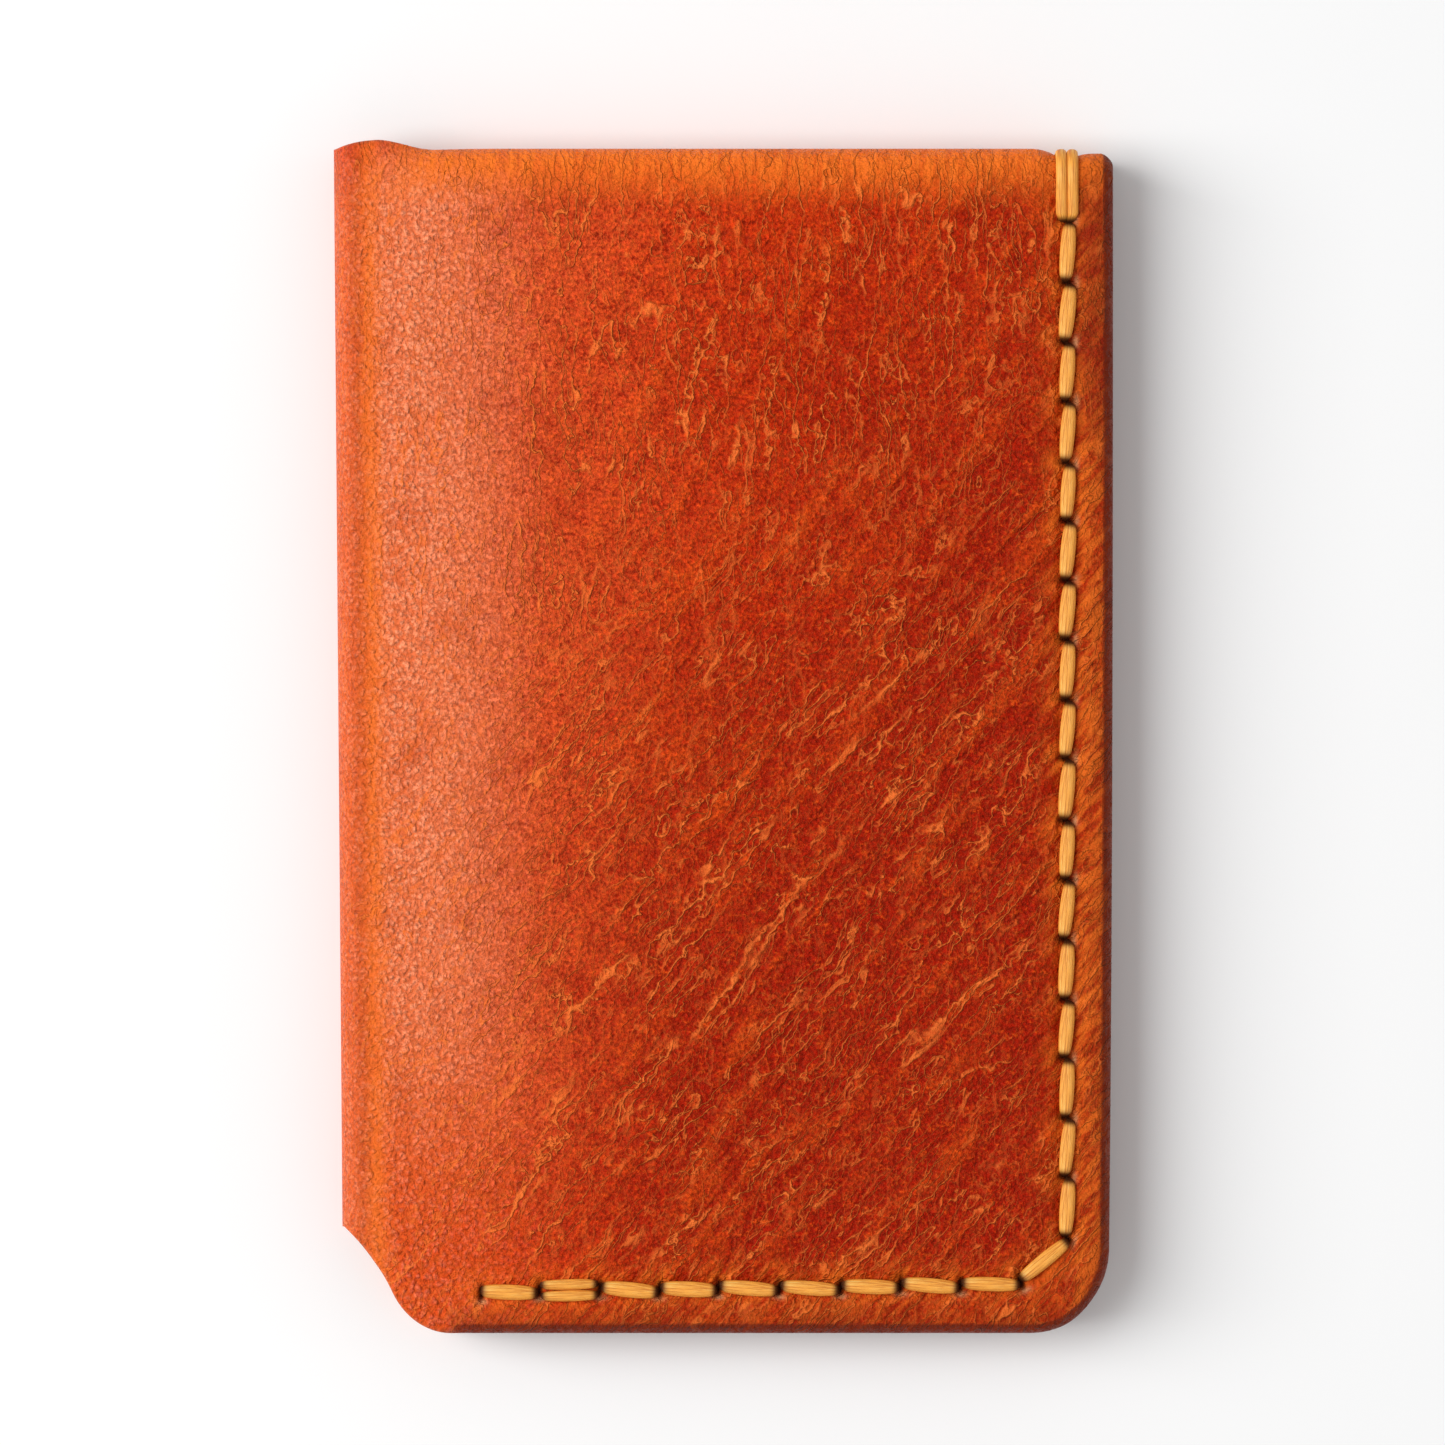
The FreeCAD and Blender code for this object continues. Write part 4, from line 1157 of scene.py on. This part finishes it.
def leather_material(tones):
    """Waxed pull-up leather: clouded orange, brighter where stretched, dark at the rubbed edges."""
    paint = Paint("grain_leather")
    flat = blank_map(paint)
    split = paint.nodes.new("ShaderNodeSeparateXYZ")
    paint.links.new(flat, split.inputs[0])
    across, along = split.outputs["X"], split.outputs["Y"]
    times, plus, most = paint.times, paint.plus, paint.most

    broad = paint.clouds(flat, 0.05, 2.0)
    middle = paint.clouds(flat, 0.17, 3.0, 0.6)
    small = paint.clouds(flat, 0.85, 4.0, 0.7)
    grain = paint.clouds(flat, 3.6, 2.0, 0.65)
    fold_bands = paint.clouds(blank_map(paint, 40, 0.42, 0.08), 1.0, 2.5, 0.6, 0.5)
    on_cover = paint.ramp(along, 44.0, 52.0, 1.0, 0.0)

    near_spine = times(paint.ramp(across, 6.0, 24.0, 1.0, 0.0), on_cover)
    wander = paint.bent(flat, 1.0, 0.5)
    pebble = paint.ramp(paint.cells(wander, 2.0), 0.1, 0.72, 1.0, 0.0)
    big_pebble = paint.cells(wander, 1.35, "DISTANCE_TO_EDGE")
    pebble_top = paint.ramp(big_pebble, 0.0, 0.3)
    valley = times(paint.ramp(big_pebble, 0.0, 0.12, 0.8, 0.0), near_spine)

    zigzag = paint.bent(paint.bent(flat, 0.35, 1.6), 1.6, 0.36)
    upright = wrinkles(paint, zigzag, 6, 0.42, 0.05, 0.02)
    upright_fine = wrinkles(paint, zigzag, -6, 0.85, 0.15, 0.028)
    leaning = wrinkles(paint, zigzag, 42, 0.42, 0.045, 0.02)
    leaning_fine = wrinkles(paint, zigzag, 34, 0.9, 0.13, 0.028)
    furrow = wrinkles(paint, zigzag, 46, 0.3, 0.08, 0.03)
    slope_line = paint.sum("SUBTRACT", along, times(across, 0.45))
    lower = paint.ramp(plus(slope_line, times(broad, 30.0)), 2.0, 26.0, 1.0, 0.0)
    upper = paint.ramp(lower, 0.0, 1.0, 1.0, 0.25)
    patchy = paint.ramp(middle, 0.34, 0.56)
    streaky = paint.ramp(paint.clouds(blank_map(paint, 42, 0.5, 0.11), 1.0, 2.0), 0.36, 0.54)
    streaky_up = paint.ramp(paint.clouds(blank_map(paint, 4, 0.5, 0.12), 1.0, 2.0), 0.34, 0.52)
    lean_lines = times(most(times(leaning, streaky), times(leaning_fine, times(streaky, 0.7))), lower)
    up_lines = times(most(times(upright, streaky_up), times(upright_fine, times(streaky_up, 0.6))), upper)
    lines = times(most(lean_lines, up_lines), paint.ramp(patchy, 0.0, 1.0, 0.35, 1.0))
    furrow = times(furrow, times(near_spine, paint.ramp(middle, 0.42, 0.56)))
    valley = most(valley, times(furrow, 0.9))

    # Lighter towards the spine: partly the leather's own tone, partly painted light and sheen from the key
    # light on that side, faded towards the foot.
    spine_side = times(paint.ramp(across, -4.0, 42.0, 1.0, 0.0), on_cover)
    warm_share = times(spine_side, paint.ramp(middle, 0.2, 0.75, 1.0, 0.72), True)
    foot_fade = paint.ramp(along, -46.0, -25.0, 0.1, 1.0)
    warm_share = times(warm_share, most(foot_fade, paint.ramp(across, 5.0, 8.0, 1.0, 0.0)))
    colour = paint.blend(warm_share, tones.body[:], tones.warm[:])
    # Painted sheen: a pale pink band on the slope just past the crease, fading towards the foot, stands in
    # for the key light's highlight there.
    painted_sheen = times(paint.ramp(across, 4.6, 6.5), paint.ramp(across, 8.0, 21.0, 0.6, 0.0))
    painted_sheen = times(painted_sheen, times(paint.ramp(along, -39.0, -17.0), on_cover))
    colour = paint.blend(painted_sheen, colour, tones.painted_sheen_tone[:])
    # Darker towards the lower right, away from the spine.
    low_right = paint.sum("SUBTRACT", times(across, 0.55), times(along, 0.3))
    low_right = plus(low_right, times(broad, 22.0))
    deep_share = times(paint.ramp(low_right, 10.0, 42.0), paint.ramp(across, 12.0, 34.0), True)
    colour = paint.blend(deep_share, colour, tones.deep[:])
    colour = paint.blend(paint.ramp(middle, 0.52, 0.74, 0.0, 0.45), colour, tones.deep[:])
    bands = times(paint.ramp(fold_bands, 0.5, 0.72, 0.0, 0.34), paint.ramp(across, 16.0, 30.0))
    colour = paint.blend(bands, colour, tones.amber[:])
    speck = plus(times(small, 0.55), times(grain, 0.45))
    sunk = times(paint.ramp(speck, 0.38, 0.52, 0.8, 0.0), paint.ramp(near_spine, 0.0, 1.0, 1.0, 0.3))
    colour = paint.blend(sunk, colour, tones.deep[:])
    proud = times(paint.ramp(speck, 0.5, 0.64, 0.0, 0.45), paint.ramp(near_spine, 0.0, 1.0, 1.0, 0.2))
    colour = paint.blend(proud, colour, tones.amber[:])
    # Painted sheen on the pebble tops near the spine.
    colour = paint.blend(times(times(pebble, near_spine), 0.3), colour, tones.painted_sheen_tone[:])
    between = times(paint.ramp(pebble, 0.0, 0.6, 0.42, 0.0), near_spine)
    colour = paint.blend(between, colour, tones.valley[:])
    # The fleck noise varies the tone at random. The pebble factor paints pebble tops a little lighter and
    # their edges darker, as painted highlight and painted shade.
    fleck = paint.clouds(flat, 3.1, 2.0, 0.6)
    mottle = times(paint.ramp(fleck, 0.34, 0.66, 0.76, 1.36), paint.ramp(pebble, 0.0, 0.8, 0.92, 1.1))
    colour = paint.scaled(colour, mottle)
    colour = paint.blend(times(lines, 0.85), colour, tones.vein[:])
    colour = paint.blend(times(valley, 0.6), colour, tones.valley[:])
    # Painted shade in the hollow by the crease, plus the darker head of the margin.
    colour = paint.blend(paint.mark("darkened"), colour, tones.dark[:])

    streaks = paint.clouds(blank_map(paint, 3, 1.6, 0.2), 1.0, 3.0, 0.6, 0.6)
    stretch = times(paint.mark("fold_stretch"), paint.ramp(streaks, 0.3, 0.65, 0.55, 1.0), True)
    colour = paint.blend(stretch, colour, tones.pulled[:])
    drag = paint.clouds(blank_map(paint, 42, 1.5, 0.3), 1.0, 2.5, 0.6)
    uneven = times(paint.ramp(drag, 0.38, 0.6, 0.15, 1.0), paint.ramp(middle, 0.3, 0.55, 0.6, 1.0))
    # Pulled tone round the stitches and over the outer margin: pull-up of the leather, plus painted sheen on
    # the margin's face.
    pull = times(paint.mark("seam_pull_and_rim_sheen"), uneven, True)
    colour = paint.blend(times(pull, 0.8), colour, tones.pulled[:])

    raw = paint.mark("flesh")
    hair = paint.clouds(blank_map(paint, 25, 1.8, 7.8), 1.0, 3.0, 0.7)
    flesh_tone = paint.blend(paint.ramp(hair, 0.3, 0.7), tones.flesh[:], tones.fibre[:])
    colour = paint.blend(raw, colour, flesh_tone)
    burn = times(paint.mark("edge_burnish"), paint.ramp(small, 0.2, 0.7, 0.78, 1.0), True)
    burn = times(burn, most(paint.ramp(burn, 0.4, 0.6), paint.ramp(middle, 0.35, 0.6, 0.2, 1.0)))
    colour = paint.blend(burn, colour, tones.burnished[:])
    torn = times(paint.mark("torn_fibre"), paint.ramp(small, 0.3, 0.6, 0.3, 1.0), True)
    colour = paint.blend(torn, colour, tones.fibre[:])
    # Painted shade inside each stitch hole.
    colour = paint.blend(paint.mark("stitch_hole"), colour, tones.hole[:])
    paint.join(colour, paint.shader.inputs["Base Color"])

    rough = paint.ramp(small, 0.2, 0.8, tones.gloss - 0.08, tones.gloss + 0.12)
    rough = plus(rough, times(raw, 0.35), True)
    paint.join(rough, paint.shader.inputs["Roughness"])
    paint.shader.inputs["Specular IOR Level"].default_value = 0.25
    paint.shader.inputs["Specular Tint"].default_value = (1.0, 0.42, 0.2, 1.0)

    pebbled = times(pebble_top, times(near_spine, 0.1))
    pebbled = paint.sum("SUBTRACT", pebbled, times(furrow, 0.05))
    height = plus(pebbled, times(lines, paint.ramp(near_spine, 0.0, 1.0, 0.22, 0.06)))
    height = plus(height, times(pebble, paint.ramp(near_spine, 0.0, 1.0, 0.06, 0.11)))
    height = plus(height, times(small, paint.ramp(near_spine, 0.0, 1.0, 0.36, 0.2)))
    height = plus(height, times(grain, 0.2))
    height = plus(height, times(fleck, 0.16))
    height = plus(height, times(fold_bands, times(paint.ramp(across, 14.0, 30.0), 0.9)))
    height = plus(height, times(streaks, times(paint.mark("fold_stretch"), 0.1)))
    height = plus(height, times(times(hair, raw), 0.12))
    paint.join(paint.relief(height, MM), paint.shader.inputs["Normal"])
    return paint.material


def thread_material(tones):
    """Waxed thread: flat bundle of golden fibres, with painted shade and some staining where it enters the
    leather.
    """
    paint = Paint("saddle_thread")
    fibres = paint.clouds(paint.map("fibre_run", 4, 16.0, 3.2), 1.0, 3.0, 0.6, 0.3)
    patch = paint.clouds(paint.map("fibre_run", 0, 2.2, 5.0), 1.0, 2.0)
    # Fibre streaks: partly the fibres' own tone, partly painted highlight and painted shade. The patches vary
    # the tone at random.
    colour = paint.blend(paint.ramp(fibres, 0.3, 0.55), tones.shade[:], tones.body[:])
    colour = paint.blend(paint.ramp(fibres, 0.55, 0.72), colour, tones.light[:])
    colour = paint.blend(paint.ramp(patch, 0.5, 0.75, 0.0, 0.3), colour, tones.shade[:])
    # Painted shade and some staining towards the ends, where the thread dives into its hole.
    end = paint.ramp(paint.mark("thread_end"), 0.08, 0.75)
    colour = paint.blend(end, colour, tones.end_shade_and_stain[:])
    paint.join(colour, paint.shader.inputs["Base Color"])
    paint.shader.inputs["Roughness"].default_value = 0.5
    paint.shader.inputs["Specular IOR Level"].default_value = 0.4
    normal = paint.relief(fibres, 0.00012, 0.9)
    paint.join(normal, paint.shader.inputs["Normal"])
    return paint.material


def floor_material(tone):
    """Plain matt floor."""
    paint = Paint("plain_floor")
    paint.join(tuple(tone), paint.shader.inputs["Base Color"])
    paint.shader.inputs["Roughness"].default_value = 1.0
    paint.shader.inputs["Specular IOR Level"].default_value = 0.0
    return paint.material


def ready(name, make, tones):
    """A material made once and shared."""
    return bpy.data.materials.get(name) or make(tones)


# ---------------------------------------------------------------- operators


def spine_bend(piece, is_back):
    """Bakes the leaf's placement into its mesh. The ends of its crease are worked out but not used, so
    nothing bends here.
    """
    start = Vector((LEFT + 3.3, 0.0, TOP - 0.5)) * MM
    end = Vector((LEFT + 1.3, 0.0, TOP - 2.5)) * MM
    if is_back:
        start.z = 2 * MIDDLE * MM - start.z
        end.z = 2 * MIDDLE * MM - end.z
    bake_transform(piece)


class LeatherFront(bpy.types.Operator):
    """Front leaf: cover, rolled head, pocket and the front half of the spine"""

    bl_idname = "card_holder.leather_front"
    bl_label = "Front leather"

    def execute(self, context):
        scene = context.scene
        piece = build_leaf("leather_front", scene.holder_shape, scene.seam_shape, False)
        piece.data.materials.append(ready("grain_leather", leather_material, scene.leather_tones))
        spine_bend(piece, False)
        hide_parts("front_cover", "front_top_fold", "front_pocket")
        return {"FINISHED"}


class LeatherBack(bpy.types.Operator):
    """Back leaf: cover, rolled head, pocket and the back half of the spine"""

    bl_idname = "card_holder.leather_back"
    bl_label = "Back leather"

    def execute(self, context):
        scene = context.scene
        piece = build_leaf("leather_back", scene.holder_shape, scene.seam_shape, True)
        piece.data.materials.append(ready("grain_leather", leather_material, scene.leather_tones))
        spine_bend(piece, True)
        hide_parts("back_cover", "back_top_fold", "back_pocket", "spine")
        return {"FINISHED"}


class StitchesFront(bpy.types.Operator):
    """Saddle stitches of the front leaf"""

    bl_idname = "card_holder.stitches_front"
    bl_label = "Front stitches"

    def execute(self, context):
        scene = context.scene
        thread = ready("saddle_thread", thread_material, scene.thread_tones)
        piece = build_seam("stitches_front", scene.holder_shape, scene.seam_shape, thread, False)
        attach(piece, "front_leaf")
        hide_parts("front_thread")
        return {"FINISHED"}


class StitchesBack(bpy.types.Operator):
    """Saddle stitches of the back leaf"""

    bl_idname = "card_holder.stitches_back"
    bl_label = "Back stitches"

    def execute(self, context):
        scene = context.scene
        thread = ready("saddle_thread", thread_material, scene.thread_tones)
        piece = build_seam("stitches_back", scene.holder_shape, scene.seam_shape, thread, True)
        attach(piece, "back_leaf")
        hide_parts("back_thread")
        return {"FINISHED"}


def area_light(name, watts, size, place, aim=(0.0, 0.0, 0.0)):
    """A soft light of a given width and length that points at the holder."""
    lamp = bpy.data.lights.new(name, "AREA")
    lamp.shape = "RECTANGLE"
    lamp.size, lamp.size_y = size
    lamp.energy = watts
    light = bpy.data.objects.new(name, lamp)
    light.location = place
    light.rotation_mode = "QUATERNION"
    light.rotation_quaternion = (Vector(aim) - Vector(place)).to_track_quat("-Z", "Y")
    bpy.context.scene.collection.objects.link(light)
    return light


class Stage(bpy.types.Operator):
    """Floor, lights and camera"""

    bl_idname = "card_holder.stage"
    bl_label = "Stage"

    def execute(self, context):
        scene = context.scene
        look = scene.stage_look
        half = 3.0
        floor_mesh = bpy.data.meshes.new("floor")
        square = [(-half, -half, 0), (half, -half, 0), (half, half, 0), (-half, half, 0)]
        floor_mesh.from_pydata(square, [], [(0, 1, 2, 3)])
        floor = bpy.data.objects.new("floor", floor_mesh)
        floor_mesh.materials.append(floor_material(look.floor[:]))
        scene.collection.objects.link(floor)

        area_light("key", look.key, (0.5, 0.95), (-0.66, 0.08, 0.70))
        area_light("fill", look.fill, (0.9, 0.9), (0.75, -0.2, 0.5))
        world = bpy.data.worlds.new("room")
        world.use_nodes = True
        background = world.node_tree.nodes["Background"]
        background.inputs["Color"].default_value = (1.0, 1.0, 1.0, 1.0)
        background.inputs["Strength"].default_value = look.sky
        scene.world = world
        scene.view_settings.view_transform = "Standard"

        camera = bpy.data.cameras.new("camera")
        camera.sensor_width = 36.0
        camera.lens = look.lens / MM
        away = look.view_width * camera.lens / camera.sensor_width
        camera.clip_start, camera.clip_end = away * 0.1, away * 10
        eye = bpy.data.objects.new("camera", camera)
        eye.location = (0.0, look.aim, TOP * MM + away)
        scene.collection.objects.link(eye)
        scene.camera = eye
        return {"FINISHED"}


class HolderPanel(bpy.types.Panel):
    """Lists the settings and the steps of the card holder"""

    bl_idname = "VIEW3D_PT_card_holder"
    bl_label = "Card holder"
    bl_space_type = "VIEW_3D"
    bl_region_type = "UI"
    bl_category = "Card holder"

    def draw(self, context):
        for step in STEPS:
            self.layout.operator(step.bl_idname)
        for label, group in GROUPS.items():
            box = self.layout.box()
            settings = getattr(context.scene, label)
            for name in group.__annotations__:
                box.prop(settings, name)


STEPS = (LeatherBack, LeatherFront, StitchesBack, StitchesFront, Stage)
GROUPS = {
    "holder_shape": HolderShape,
    "seam_shape": SeamShape,
    "leather_tones": LeatherTones,
    "thread_tones": ThreadTones,
    "stage_look": StageLook,
}


def register():
    """Registers the settings, the steps and the panel."""
    for label, group in GROUPS.items():
        bpy.utils.register_class(group)
        setattr(bpy.types.Scene, label, PointerProperty(type=group))
    for step in STEPS:
        bpy.utils.register_class(step)
    bpy.utils.register_class(HolderPanel)


def unregister():
    """Takes them away again."""
    bpy.utils.unregister_class(HolderPanel)
    for step in reversed(STEPS):
        bpy.utils.unregister_class(step)
    for label, group in GROUPS.items():
        delattr(bpy.types.Scene, label)
        bpy.utils.unregister_class(group)


def main():
    """Builds every piece in order."""
    register()
    for step in STEPS:
        group, name = step.bl_idname.split(".")
        getattr(getattr(bpy.ops, group), name)()


if __name__ == "__main__":
    main()
